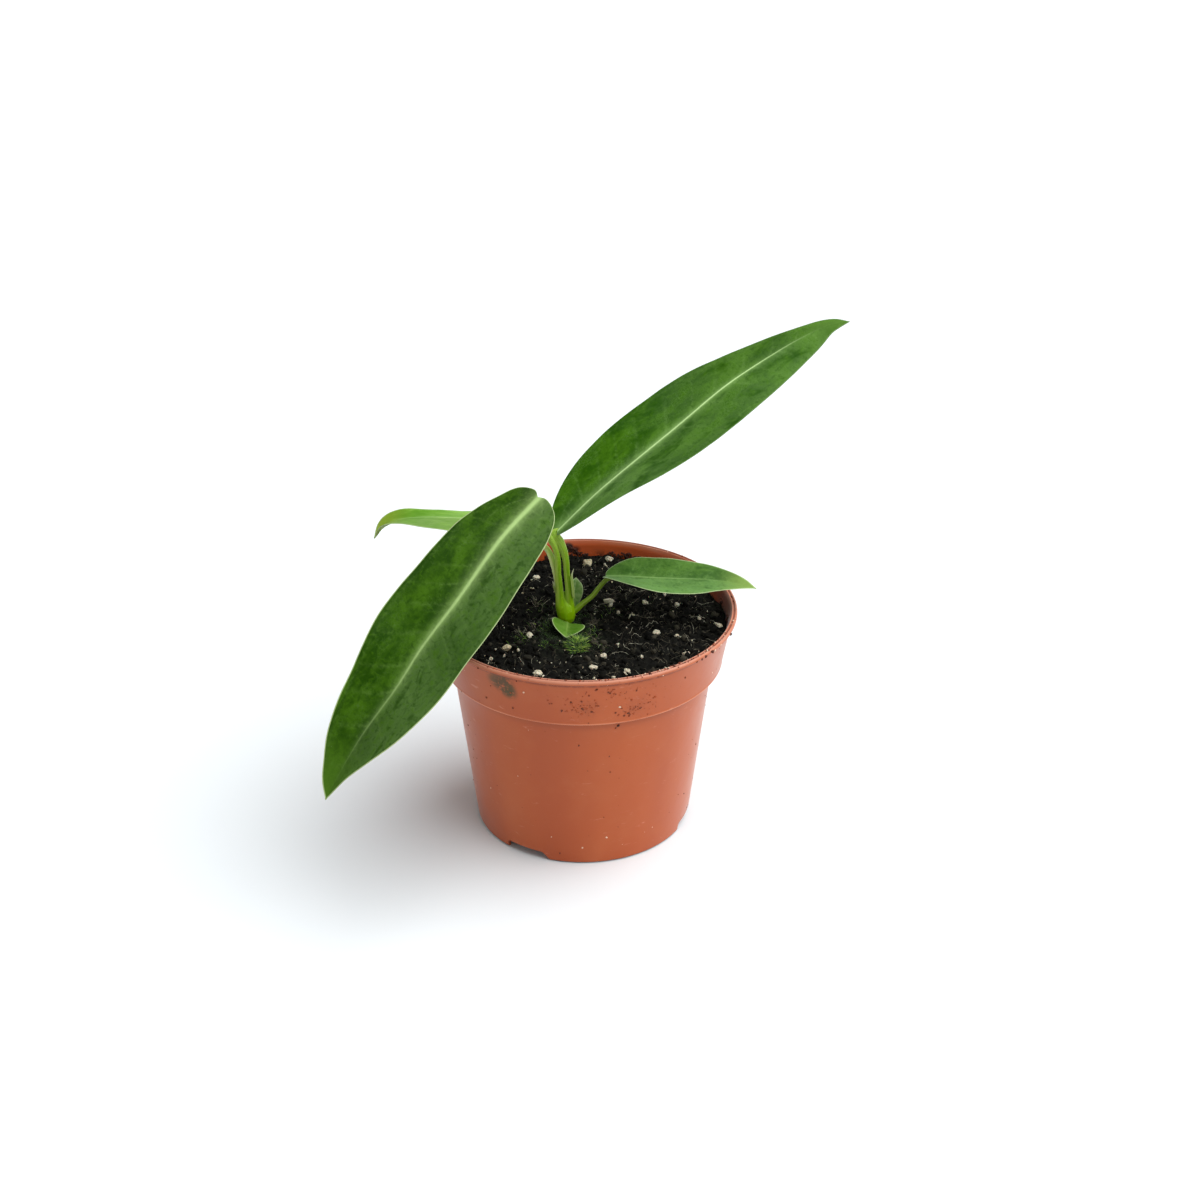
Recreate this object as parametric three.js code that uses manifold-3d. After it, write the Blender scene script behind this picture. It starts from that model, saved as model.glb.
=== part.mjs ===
// A young queen anthurium growing in a small moulded plastic nursery pot.
// Millimetres, +Z up. The origin is the middle of the pot's foot, on the surface it stands on.
// Seen from the front, -Y is towards the viewer and +X is to the right.
// The plant has four leaves on petioles, which join in a short stem over thick roots.
import * as THREE from 'three';
import { mergeVertices } from 'three/addons/utils/BufferGeometryUtils.js';
import Module from 'manifold-3d';

const wasm = await Module();
wasm.setup();

// Clearance between neighbouring pieces.
const GAP = 0.3;
// Vertices nearer than this are one vertex.
const WELD = 1e-4;

// Driving dimensions of the pot.
const POT = {
  height: 91.1,
  rimRadius: 60,
  footRadius: 42.8,
  wallSlope: 0.119,
  wall: 1.1,
  collarBottom: 69.7,
  collarBottomRadius: 54.7,
  collarTopRadius: 58.15,
  ledgeHeight: 0.6,
  lipHeight: 1.9,
  lipInnerRadius: 57.9,
  edgeRound: 0.5,
  skirtWidth: 1.2,
  floorUnderside: 3.8,
  floorThickness: 1.2,
  padRadius: 22,
  notchAzimuths: [-31.4, 73.2, 201],
  notchHalfWidth: 12.6,
  notchHeight: 3.7,
  drainHoles: 8,
  drainHoleRadius: 3,
  drainCircleRadius: 32,
  segments: 60,
};

// Driving dimensions of the potting mix, whose top is a little uneven.
const MIX = {
  level: 83.8,
  riseToBack: 0.015,
  swell: 0.5,
  ripple: 0.3,
  ringRadii: [49, 41, 33, 25, 17, 9],
};

// The stem, from its buried end to the crown where the petioles leave it.
const STEM = {
  points: [
    [-5.9, 2.3, 60], [-5.9, 2.3, 75], [-5.9, 2.3, 83.5],
    [-6.2, 2.3, 87], [-6.9, 2.3, 91], [-7.4, 2.4, 95.5],
  ],
  radii: [2.6, 2.6, 2.6, 3.2, 3.4],
};

// The thick roots, which leave the stem in a ring and turn down beside the pot's wall.
const ROOTS = {
  count: 5,
  firstAzimuth: 15,
  turnPerStep: 9,
  topHeight: 70,
  reach: [0, 10, 24, 33, 36],
  drop: [0, 7, 21, 38, 53],
  stagger: 2,
  radii: [1.4, 1.3, 1, 0.7],
};

// Each blade is cut flat and then bent along its midrib.
// Outlines give distance along the midrib and distance across it, from the sinus to the tip.
// Roll lifts the right half and fold lifts both halves, in degrees at even steps from base to tip.
// face is the way the upper side looks, which is up where it isn't given.
const BLADES = {
  leaf_large_left: {
    midrib: [
      [-16.6, 2, 136], [-30.4, -18, 128.4], [-45.4, -36, 113.1], [-58.7, -48.5, 99],
      [-67.5, -58, 87.5], [-79.5, -68, 73], [-92.5, -77, 52],
    ],
    roll: [17, 31, 22],
    fold: [-8, 14, 30],
    right: [[-3, 3.5], [-1, 9.5], [8, 13], [34, 17.5], [71, 19.5], [106, 15], [134, 5.5]],
    left: [[-1.5, 2.5], [2, 9], [14, 14.5], [45, 18], [76, 19.4], [111, 15.3], [132, 4.5]],
    stations: 22,
    ribs: 3,
    thickness: 0.8,
  },
  leaf_large_right: {
    midrib: [
      [-9.2, 5, 121.1], [4.1, 13, 131.8], [20.4, 22, 142.8], [36.8, 32, 152.8], [55.8, 43, 165],
      [70.1, 51, 172], [85.4, 59, 178.5], [95.6, 64, 181.6], [106, 68, 182.6],
    ],
    roll: [-8, -8, -37],
    fold: [25, 1, -24],
    right: [[-2, 3.5], [5, 9], [35, 19], [55, 20.6], [75, 19.1], [96, 15.3], [130, 6.6], [139, 2.6]],
    left: [
      [-1.5, 2.5], [2, 6], [7, 9.3], [28, 17], [62, 20.7], [78, 19.5], [96, 14.8], [129, 6], [142, 3.6],
    ],
    stations: 22,
    ribs: 3,
    thickness: 0.8,
  },
  leaf_back_left: {
    midrib: [
      [-15.9, 8, 114.9], [-26, 12, 118.6], [-39.8, 17, 119.4], [-53.4, 22, 118.1],
      [-64, 26, 116.3], [-73, 29, 113.8], [-79.4, 31, 110], [-83.4, 32, 104.4],
    ],
    roll: [12, -4, 17],
    fold: [11.5, -10, 38.5],
    right: [[-2, 3], [10, 9.6], [24, 11], [36, 10.2], [52, 6], [68, 4.8]],
    left: [[-2, 3], [10, 9.6], [24, 11], [44, 9.4], [60, 6.4], [71, 1.8]],
    stations: 20,
    ribs: 3,
    thickness: 0.7,
  },
  leaf_small_right: {
    midrib: [
      [9.1, 4, 101.6], [17.7, 3.5, 101.7], [27.4, 3, 101.4], [37.7, 2.5, 101.3],
      [48.1, 2, 101.1], [58.1, 1, 100.1], [67.2, 0, 98.4],
    ],
    roll: [3.5, -17.5, -7],
    fold: [18, 5, 10],
    right: [[-1, 3], [4, 8.3], [12, 11.2], [22, 10.4], [39, 8.6], [48, 5.6], [54, 2.4]],
    left: [[0, 2.5], [4, 7.8], [11, 11], [20, 10.8], [35, 9], [48, 6.2], [54, 3.4]],
    stations: 16,
    ribs: 3,
    thickness: 0.6,
  },
  leaf_tiny_front: {
    midrib: [[-5.8, -1.15, 84.3], [-5.8, -4.6, 84.7], [-6, -9.5, 84.9], [-6.2, -14.4, 84.6]],
    roll: [8, 8, 8],
    fold: [20, 18, 15],
    right: [[1.2, 0.8], [2, 1.2], [1.6, 4.9], [5.3, 6.2], [9.6, 4.5]],
    left: [[1.8, 0.8], [3.8, 1.2], [5, 4.8], [7.2, 6.8], [10.5, 4]],
    stations: 12,
    ribs: 2,
    thickness: 0.5,
  },
  leaf_round_back: {
    midrib: [[-5, 5.8, 84.8], [-4.2, 7.1, 87.5], [-3.4, 7.8, 92.5], [-2.5, 8.8, 98.8]],
    face: [0.2, -1, 0.2],
    roll: [0, 0, 0],
    fold: [20, 15, 20],
    right: [[1, 0.7], [5, 1.8], [9.5, 2.9], [13, 1.9]],
    left: [[1, 0.7], [5, 1.5], [9.5, 2.7], [13, 1.9]],
    stations: 8,
    ribs: 2,
    thickness: 0.5,
  },
  cataphyll_left: {
    midrib: [[-10.9, 1.5, 95.9], [-11.6, 1.4, 98.8], [-12.1, 1.6, 101.9]],
    face: [-1, -0.2, 0.2],
    roll: [0, 0, 0],
    fold: [-20, -20, -15],
    right: [[0.5, 0.7], [3, 1], [5, 0.7]],
    left: [[0.5, 0.7], [3, 1], [5, 0.7]],
    stations: 7,
    ribs: 2,
    thickness: 0.3,
  },
  cataphyll_right: {
    midrib: [[-3.2, 0.9, 93.6], [-3.6, 1.1, 99.3], [-3.9, 1.1, 103.7], [-3.3, 1, 106.5]],
    face: [1, -0.9, 0.1],
    roll: [0, 0, 0],
    fold: [-15, -15, -10],
    right: [[1, 0.8], [6, 0.9], [10.5, 0.5]],
    left: [[1, 0.8], [6, 0.9], [10.5, 0.5]],
    stations: 7,
    ribs: 2,
    thickness: 0.3,
  },
};

// Each petiole runs from inside the crown of the stem to the underside of its blade.
const PETIOLES = {
  petiole_large_left: {
    blade: 'leaf_large_left',
    points: [
      [-8, 1.6, 94], [-8.6, 1.7, 98], [-9, 1.8, 105], [-9.4, 1.8, 112],
      [-10.1, 1.8, 118], [-11, 1.8, 121.4], [-12.5, 1.8, 126.8],
    ],
    radii: [1.1, 1.05, 1.05, 1.1, 1.4],
  },
  petiole_large_right: {
    blade: 'leaf_large_right',
    points: [
      [-5.3, 2.6, 94], [-5.5, 2.6, 99.8], [-5.8, 2.8, 104.5],
      [-6.3, 3, 108.8], [-7.2, 3.5, 113.6], [-8.3, 4.1, 116.8],
    ],
    radii: [1.6, 1.45, 1.4, 1.4, 1.5],
  },
  petiole_back_left: {
    blade: 'leaf_back_left',
    points: [[-9.8, 3.7, 95.9], [-10.2, 3.7, 98.5], [-10.8, 4, 103.9], [-11.5, 5, 109], [-12.5, 6.2, 111.8]],
    radii: [0.85, 0.85, 0.9, 1],
  },
  petiole_small_right: {
    blade: 'leaf_small_right',
    points: [[-5.4, 2.3, 85.9], [-2.4, 2.3, 88.2], [0.1, 2.6, 90.5], [4, 3.1, 93.8], [6.4, 3.5, 97]],
    radii: [1.2, 0.95, 0.9, 1],
  },
};

// Grains of perlite: x, y and width.
const PERLITE = [
  [1.5, 47.3, 4.1], [10.5, 51, 3.3], [10, 16.3, 4.4], [-28.9, -21, 3.8], [-16.2, -39.8, 3.4],
  [4.6, -34.9, 3], [8.3, -26.1, 2.7], [18.9, 3.6, 3.1], [28.4, -9.5, 3.5], [17.2, -39, 3],
  [-20.1, -11.1, 2.7], [24.7, 15.4, 2.7], [37.2, 12.9, 2.7], [39.2, -26.8, 2.7], [52.6, -3.7, 3],
  [-19.1, 35.5, 2.8], [-38, 12, 3.2], [-44, -10, 3],
];
const GRAIN_SINK = 0.1;
const GRAIN_ROUGHNESS = 0.14;

// The tuft of moss beside the foot of the stem.
const MOSS = {
  centre: [-1.9, -18.4],
  size: [3.5, 5, 2.4],
  roughness: 0.12,
};

const MATERIALS = {
  pot: { color: '#b8583a', roughness: 0.45, metalness: 0 },
  mix: { color: '#1c1613', roughness: 0.95, metalness: 0 },
  blade: { color: '#2c5c14', roughness: 0.4, metalness: 0 },
  youngBlade: { color: '#4f8a34', roughness: 0.45, metalness: 0 },
  petiole: { color: '#7fa32c', roughness: 0.45, metalness: 0 },
  sheath: { color: '#c4c98e', roughness: 0.7, metalness: 0 },
  root: { color: '#c9b48c', roughness: 0.8, metalness: 0 },
  perlite: { color: '#e6dfce', roughness: 0.85, metalness: 0 },
  moss: { color: '#3f6a1c', roughness: 0.9, metalness: 0 },
};

const radians = THREE.MathUtils.degToRad;

// Leaves only positions, welds equal vertices and drops triangles without area.
function weld(geometry) {
  const bare = new THREE.BufferGeometry();
  bare.setAttribute('position', geometry.getAttribute('position').clone());
  const count = bare.getAttribute('position').count;
  bare.setIndex(geometry.index ? [...geometry.index.array] : [...Array(count).keys()]);
  const merged = mergeVertices(bare, WELD);
  const kept = [];
  const index = merged.index.array;
  for (let i = 0; i < index.length; i += 3) {
    const [a, b, c] = [index[i], index[i + 1], index[i + 2]];
    if (a !== b && b !== c && c !== a) {
      kept.push(a, b, c);
    }
  }
  merged.setIndex(kept);
  return merged;
}

function toSolid(geometry) {
  const welded = weld(geometry);
  return new wasm.Manifold(new wasm.Mesh({
    numProp: 3,
    vertProperties: new Float32Array(welded.getAttribute('position').array),
    triVerts: new Uint32Array(welded.index.array),
  }));
}

function toGeometry(solid) {
  const mesh = solid.getMesh();
  const geometry = new THREE.BufferGeometry();
  geometry.setAttribute('position', new THREE.BufferAttribute(new Float32Array(mesh.vertProperties), 3));
  geometry.setIndex([...mesh.triVerts]);
  return geometry;
}

function cut(geometry, tools) {
  return toGeometry(tools.reduce((solid, tool) => solid.subtract(toSolid(tool)), toSolid(geometry)));
}

// The largest of the separate bodies that a cut leaves.
function largestBody(geometry) {
  const bodies = toSolid(geometry).decompose();
  return toGeometry(bodies.reduce((best, body) => (body.volume() > best.volume() ? body : best)));
}

function indexed(positions, index) {
  const geometry = new THREE.BufferGeometry();
  geometry.setAttribute('position', new THREE.Float32BufferAttribute(positions.flatMap((p) => [p.x, p.y, p.z]), 3));
  geometry.setIndex(index);
  return weld(geometry);
}

// Reads a list of values at even steps from base to tip.
function valueAlong(values, u) {
  const place = THREE.MathUtils.clamp(u, 0, 1) * (values.length - 1);
  const step = Math.min(Math.floor(place), values.length - 2);
  return THREE.MathUtils.lerp(values[step], values[step + 1], place - step);
}

function curveThrough(points) {
  return new THREE.CatmullRomCurve3(points.map((p) => new THREE.Vector3(...p)), false, 'centripetal');
}

// Turns a profile of radius and height about the vertical axis.
function turned(profile, segments) {
  const points = profile.map(([radius, height]) => new THREE.Vector2(radius, height));
  return new THREE.LatheGeometry(points, segments).rotateX(Math.PI / 2);
}

// A round tube with closed ends whose radius changes along its length.
function taperedTube(points, radii, { sides = 8, steps = 14, grow = 0 } = {}) {
  const curve = curveThrough(points);
  const frames = curve.computeFrenetFrames(steps, false);
  const positions = [];
  const index = [];
  for (let i = 0; i <= steps; i += 1) {
    const centre = curve.getPointAt(i / steps);
    const reach = { 0: -grow, [steps]: grow }[i] ?? 0;
    const radius = valueAlong(radii, i / steps) + grow;
    centre.addScaledVector(frames.tangents[i], reach);
    for (let j = 0; j < sides; j += 1) {
      const turn = (2 * Math.PI * j) / sides;
      const point = centre.clone();
      point.addScaledVector(frames.normals[i], radius * Math.cos(turn));
      point.addScaledVector(frames.binormals[i], radius * Math.sin(turn));
      positions.push(point);
    }
  }
  for (let i = 0; i < steps; i += 1) {
    for (let j = 0; j < sides; j += 1) {
      const a = i * sides + j;
      const b = i * sides + ((j + 1) % sides);
      index.push(a, b, b + sides, a, b + sides, a + sides);
    }
  }
  const last = steps * sides;
  for (let j = 1; j < sides - 1; j += 1) {
    index.push(0, j + 1, j, last, last + j, last + j + 1);
  }
  return indexed(positions, index);
}

// Share of the midrib's length at which the rib to an outline point starts.
const RIB_LEAN = 1.5;
// Half the stretch of midrib, as a share of its length, over which its direction is averaged.
const TANGENT_REACH = 0.02;
// How far past the sinus a petiole meets the underside of its blade.
const PETIOLE_REACH = 1;

class Blade {
  constructor(spec) {
    this.spec = spec;
    this.curve = curveThrough(spec.midrib);
    this.length = this.curve.getLength();
    this.face = new THREE.Vector3(...(spec.face ?? [0, 0, 1])).normalize();
    this.outlines = {};
    for (const side of ['left', 'right']) {
      const across = side === 'right' ? 1 : -1;
      const points = spec[side].map(([along, width]) => [along, width * across, 0]);
      this.outlines[side] = curveThrough([[0, 0, 0], ...points, [this.length, 0, 0]]);
    }
  }

  // Directions at a share u of the midrib: along it, across to the right half, and out of the upper side.
  frame(u) {
    const ahead = this.curve.getPointAt(Math.min(u + TANGENT_REACH, 1));
    const behind = this.curve.getPointAt(Math.max(u - TANGENT_REACH, 0));
    const along = ahead.sub(behind).normalize();
    const up = this.face.clone().addScaledVector(along, -this.face.dot(along)).normalize();
    up.applyAxisAngle(along, -radians(valueAlong(this.spec.roll, u)));
    return { along, up, across: along.clone().cross(up) };
  }

  // The point of the bent blade for a point of the flat one, raised from the middle of its thickness.
  point(along, across, raise) {
    const u = THREE.MathUtils.clamp(along / this.length, 0, 1);
    const axes = this.frame(u);
    const fold = radians(valueAlong(this.spec.fold, u));
    const point = this.curve.getPointAt(u);
    point.addScaledVector(axes.along, along - u * this.length);
    point.addScaledVector(axes.across, across * Math.cos(fold));
    point.addScaledVector(axes.up, Math.abs(across) * Math.sin(fold) + raise);
    return point;
  }

  // The flat place of a share t of the outline and a share k, from -1 to 1, of the rib that ends there.
  flat(t, k) {
    const start = this.length * t ** RIB_LEAN;
    const edge = this.outlines[k < 0 ? 'left' : 'right'].getPointAt(t);
    return [THREE.MathUtils.lerp(start, edge.x, Math.abs(k)), edge.y * Math.abs(k)];
  }

  // The blade as a closed solid, or with some growth the room that it needs.
  geometry(grow = 0) {
    const { stations, ribs, thickness } = this.spec;
    const columns = 2 * ribs + 1;
    const positions = [];
    const index = [];
    for (const raise of [thickness / 2 + grow, -thickness / 2 - grow]) {
      for (let i = 0; i <= stations; i += 1) {
        for (let j = -ribs; j <= ribs; j += 1) {
          const [along, across] = this.flat(i / stations, j / ribs);
          // Both ends of the blade are single points, grown or not.
          const widen = Math.sign(j) * Math.min(1, i, stations - i) * grow;
          positions.push(this.point(along - grow, across + widen, raise));
        }
      }
    }
    const under = (stations + 1) * columns;
    for (let i = 0; i < stations; i += 1) {
      for (let j = 0; j < columns - 1; j += 1) {
        const a = i * columns + j;
        const b = a + columns;
        index.push(a, a + 1, b + 1, a, b + 1, b);
        index.push(under + a, under + b + 1, under + a + 1, under + a, under + b, under + b + 1);
      }
      const left = i * columns;
      const right = left + columns - 1;
      index.push(left, left + columns, under + left + columns, left, under + left + columns, under + left);
      index.push(right, under + right + columns, right + columns, right, under + right, under + right + columns);
    }
    return indexed(positions, index);
  }

  // Where the petiole ends, in the lower half of the blade's thickness.
  seat() {
    return this.point(PETIOLE_REACH, 0, -this.spec.thickness / 2).toArray();
  }
}

// Height of the uneven top of the potting mix.
function mixHeight(x, y) {
  const swell = MIX.swell * Math.sin(0.14 * x + 0.6) * Math.cos(0.12 * y - 0.4);
  const ripple = MIX.ripple * Math.sin(0.31 * x - 0.27 * y);
  return MIX.level + MIX.riseToBack * y + swell + ripple;
}

// Outer radius of the pot's plain wall, and of its collar, at a height.
function bodyRadius(z) {
  return POT.footRadius + POT.wallSlope * z;
}

const lipUnderside = POT.height - POT.lipHeight;
const floorTop = POT.floorUnderside + POT.floorThickness;
const innerPadRadius = POT.padRadius - POT.wall;

function collarRadius(z) {
  const share = (z - POT.collarBottom) / (lipUnderside - POT.collarBottom);
  return THREE.MathUtils.lerp(POT.collarBottomRadius, POT.collarTopRadius, share);
}

// Inside of the pot from the lip down to the middle of the floor, drawn in by an offset.
function insideProfile(top, offset) {
  const ledge = POT.collarBottom + POT.ledgeHeight + offset;
  return [
    [collarRadius(top) - POT.wall - offset, top],
    [collarRadius(ledge) - POT.wall - offset, ledge + POT.ledgeHeight],
    [bodyRadius(ledge) - POT.wall - offset, ledge],
    [bodyRadius(floorTop) - POT.wall - offset, floorTop + 2 * POT.edgeRound + offset],
    [bodyRadius(floorTop) - POT.wall - 2 * POT.edgeRound - offset, floorTop + offset],
    [innerPadRadius - offset, floorTop + offset],
    [innerPadRadius - POT.edgeRound - offset, POT.floorThickness + offset],
    [0, POT.floorThickness + offset],
  ];
}

// A block that cuts one drainage notch through the skirt under the floor.
function notchTool(azimuth) {
  const width = 2 * POT.footRadius * Math.sin(radians(POT.notchHalfWidth));
  const tool = new THREE.BoxGeometry(width, 4 * POT.skirtWidth, 2 * POT.notchHeight);
  tool.translate(0, -(POT.footRadius - 1.5 * POT.skirtWidth), 0);
  return tool.rotateZ(radians(azimuth));
}

function drainTool(index) {
  const tool = new THREE.CylinderGeometry(POT.drainHoleRadius, POT.drainHoleRadius, 2 * floorTop, 12);
  tool.rotateX(Math.PI / 2).translate(POT.drainCircleRadius, 0, floorTop);
  return tool.rotateZ((2 * Math.PI * (index + 0.5)) / POT.drainHoles);
}

function potGeometry() {
  const edge = POT.edgeRound;
  const outside = [
    [0, 0],
    [POT.padRadius, 0],
    [POT.padRadius + edge, POT.floorUnderside],
    [POT.footRadius - edge - POT.skirtWidth, POT.floorUnderside],
    [POT.footRadius - edge - POT.skirtWidth, 0],
    [POT.footRadius - edge, 0],
    [bodyRadius(edge), edge],
    [bodyRadius(POT.collarBottom - POT.ledgeHeight), POT.collarBottom - POT.ledgeHeight],
    [POT.collarBottomRadius - edge, POT.collarBottom],
    [POT.collarBottomRadius, POT.collarBottom + edge],
    [POT.collarTopRadius, lipUnderside],
    [POT.rimRadius - edge, lipUnderside + edge / 2],
    [POT.rimRadius, lipUnderside + edge],
    [POT.rimRadius, POT.height - edge],
    [POT.rimRadius - edge, POT.height],
    [POT.lipInnerRadius, POT.height],
  ];
  const shell = turned([...outside, ...insideProfile(lipUnderside, 0)], POT.segments);
  const notches = POT.notchAzimuths.map(notchTool);
  const drains = [...Array(POT.drainHoles).keys()].map(drainTool);
  return cut(shell, [...notches, ...drains]);
}

function rootPoints(index) {
  const [stemX, stemY] = STEM.points[0];
  const farthest = ROOTS.reach[ROOTS.reach.length - 1];
  return ROOTS.reach.map((reach, step) => {
    const azimuth = radians(ROOTS.firstAzimuth + (index * 360) / ROOTS.count + step * ROOTS.turnPerStep);
    const nearStem = 1 - reach / farthest;
    return [
      stemX * nearStem + reach * Math.cos(azimuth),
      stemY * nearStem + reach * Math.sin(azimuth),
      ROOTS.topHeight - ROOTS.stagger * index - ROOTS.drop[step] * (1 - 0.05 * index),
    ];
  });
}

const ROOT_FINENESS = { sides: 6, steps: 10 };

function rootGeometry(index, grow = 0) {
  return taperedTube(rootPoints(index), ROOTS.radii, { ...ROOT_FINENESS, grow });
}

function stemGeometry(grow = 0) {
  return taperedTube(STEM.points, STEM.radii, { sides: 10, steps: 8, grow });
}

// An irregular round body: an icosahedron whose corners are pushed in and out by a fixed pattern.
function lump(centre, size, detail, roughness, seed) {
  const geometry = weld(new THREE.IcosahedronGeometry(1, detail));
  const position = geometry.getAttribute('position');
  const corner = new THREE.Vector3();
  for (let i = 0; i < position.count; i += 1) {
    const push = 1 + roughness * Math.sin(7.3 * i + 2.9 * seed);
    corner.fromBufferAttribute(position, i).multiplyScalar(push);
    position.setXYZ(i, corner.x * size[0], corner.y * size[1], corner.z * size[2]);
  }
  return geometry.translate(...centre);
}

function grainGeometry(index, grow = 0) {
  const [x, y, width] = PERLITE[index];
  const radius = width / 2;
  const size = [radius + grow, 0.85 * radius + grow, 0.8 * radius + grow];
  const centre = [x, y, mixHeight(x, y) + GRAIN_SINK * radius];
  return lump(centre, size, 0, GRAIN_ROUGHNESS, index);
}

function mossGeometry(grow = 0) {
  const [x, y] = MOSS.centre;
  return lump([x, y, mixHeight(x, y)], MOSS.size.map((half) => half + grow), 1, MOSS.roughness, 0);
}

// The mix fills the pot's inside a gap away from it, and leaves room for what grows or lies in it.
function mixGeometry() {
  // Grown lumps are irregular, so they need a little more than the gap.
  const lumpGrow = 1.3 * GAP;
  const inside = insideProfile(MIX.level, GAP);
  const top = MIX.ringRadii.map((radius) => [radius, MIX.level]).reverse();
  const block = turned([...inside.reverse(), ...top.reverse(), [0, MIX.level]], POT.segments);
  const position = block.getAttribute('position');
  for (let i = 0; i < position.count; i += 1) {
    if (position.getZ(i) > MIX.level - WELD) {
      const [x, y] = [position.getX(i), position.getY(i)];
      const height = mixHeight(x, y);
      // The rim of the mix stays a gap away from the flaring wall, however high it lies.
      const atWall = Math.hypot(x, y) > MIX.ringRadii[0] + WELD;
      const scale = atWall ? (collarRadius(height) - POT.wall - GAP) / Math.hypot(x, y) : 1;
      position.setXYZ(i, x * scale, y * scale, height);
    }
  }
  const roots = [...Array(ROOTS.count).keys()].map((index) => rootGeometry(index, GAP));
  const grains = PERLITE.map((grain, index) => grainGeometry(index, lumpGrow));
  return cut(block, [stemGeometry(GAP), ...roots, ...grains, mossGeometry(lumpGrow)]);
}

// A petiole starts inside the crown and ends inside its blade, and is cut back from both.
function petioleGeometry({ blade, points, radii }) {
  const tube = taperedTube([...points, blades[blade].seat()], radii);
  return largestBody(cut(tube, [stemGeometry(GAP), blades[blade].geometry(GAP)]));
}

const blades = Object.fromEntries(Object.entries(BLADES).map(([name, spec]) => [name, new Blade(spec)]));

const group = new THREE.Group();

function addPiece(name, geometry, material) {
  const mesh = new THREE.Mesh(geometry, new THREE.MeshStandardMaterial(MATERIALS[material]));
  mesh.name = name;
  group.add(mesh);
}

const twoDigits = (index) => String(index + 1).padStart(2, '0');

addPiece('pot', potGeometry(), 'pot');
addPiece('potting_mix', mixGeometry(), 'mix');
addPiece('stem', stemGeometry(), 'petiole');

for (let index = 0; index < ROOTS.count; index += 1) {
  addPiece(`root_${index + 1}`, cut(rootGeometry(index), [stemGeometry(GAP)]), 'root');
}

for (const [name, spec] of Object.entries(PETIOLES)) {
  addPiece(name, petioleGeometry(spec), 'petiole');
}

const bladeMaterials = {
  leaf_large_left: 'blade',
  leaf_large_right: 'blade',
  cataphyll_left: 'sheath',
  cataphyll_right: 'sheath',
};

for (const [name, blade] of Object.entries(blades)) {
  addPiece(name, blade.geometry(), bladeMaterials[name] ?? 'youngBlade');
}

addPiece('moss_tuft', mossGeometry(), 'moss');
PERLITE.forEach((grain, index) => addPiece(`perlite_${twoDigits(index)}`, grainGeometry(index), 'perlite'));

export default group;
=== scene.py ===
from math import atan2, cos, exp, hypot, pi, radians, sin, sqrt

import bmesh
import bpy
import numpy as np
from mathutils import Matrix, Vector, noise


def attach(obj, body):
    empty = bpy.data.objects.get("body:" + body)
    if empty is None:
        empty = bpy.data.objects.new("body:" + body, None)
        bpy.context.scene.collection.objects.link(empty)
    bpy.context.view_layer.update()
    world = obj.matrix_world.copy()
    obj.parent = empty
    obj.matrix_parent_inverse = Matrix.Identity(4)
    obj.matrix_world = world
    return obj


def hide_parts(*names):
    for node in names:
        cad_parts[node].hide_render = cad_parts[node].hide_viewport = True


# A young queen anthurium in a small terracotta-coloured plastic nursery pot.
# Shapes are worked out in millimetres and stored in metres.
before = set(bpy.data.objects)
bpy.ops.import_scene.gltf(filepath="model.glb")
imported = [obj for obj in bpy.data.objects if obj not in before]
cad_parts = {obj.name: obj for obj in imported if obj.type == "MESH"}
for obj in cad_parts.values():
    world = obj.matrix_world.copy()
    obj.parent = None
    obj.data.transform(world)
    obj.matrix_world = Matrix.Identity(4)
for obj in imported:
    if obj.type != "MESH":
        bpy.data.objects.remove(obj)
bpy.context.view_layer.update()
MM = 0.001
GAP = 0.3
TURN = 6.28  # just under a whole turn, in radians


# Materials

def linear(colour):
    """A colour as a screen shows it, from 0 to 255, as the light that a shader works with."""
    shares = [c / 255 for c in colour]
    return [c / 12.92 if c <= 0.04045 else ((c + 0.055) / 1.055) ** 2.4 for c in shares] + [1]


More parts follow.
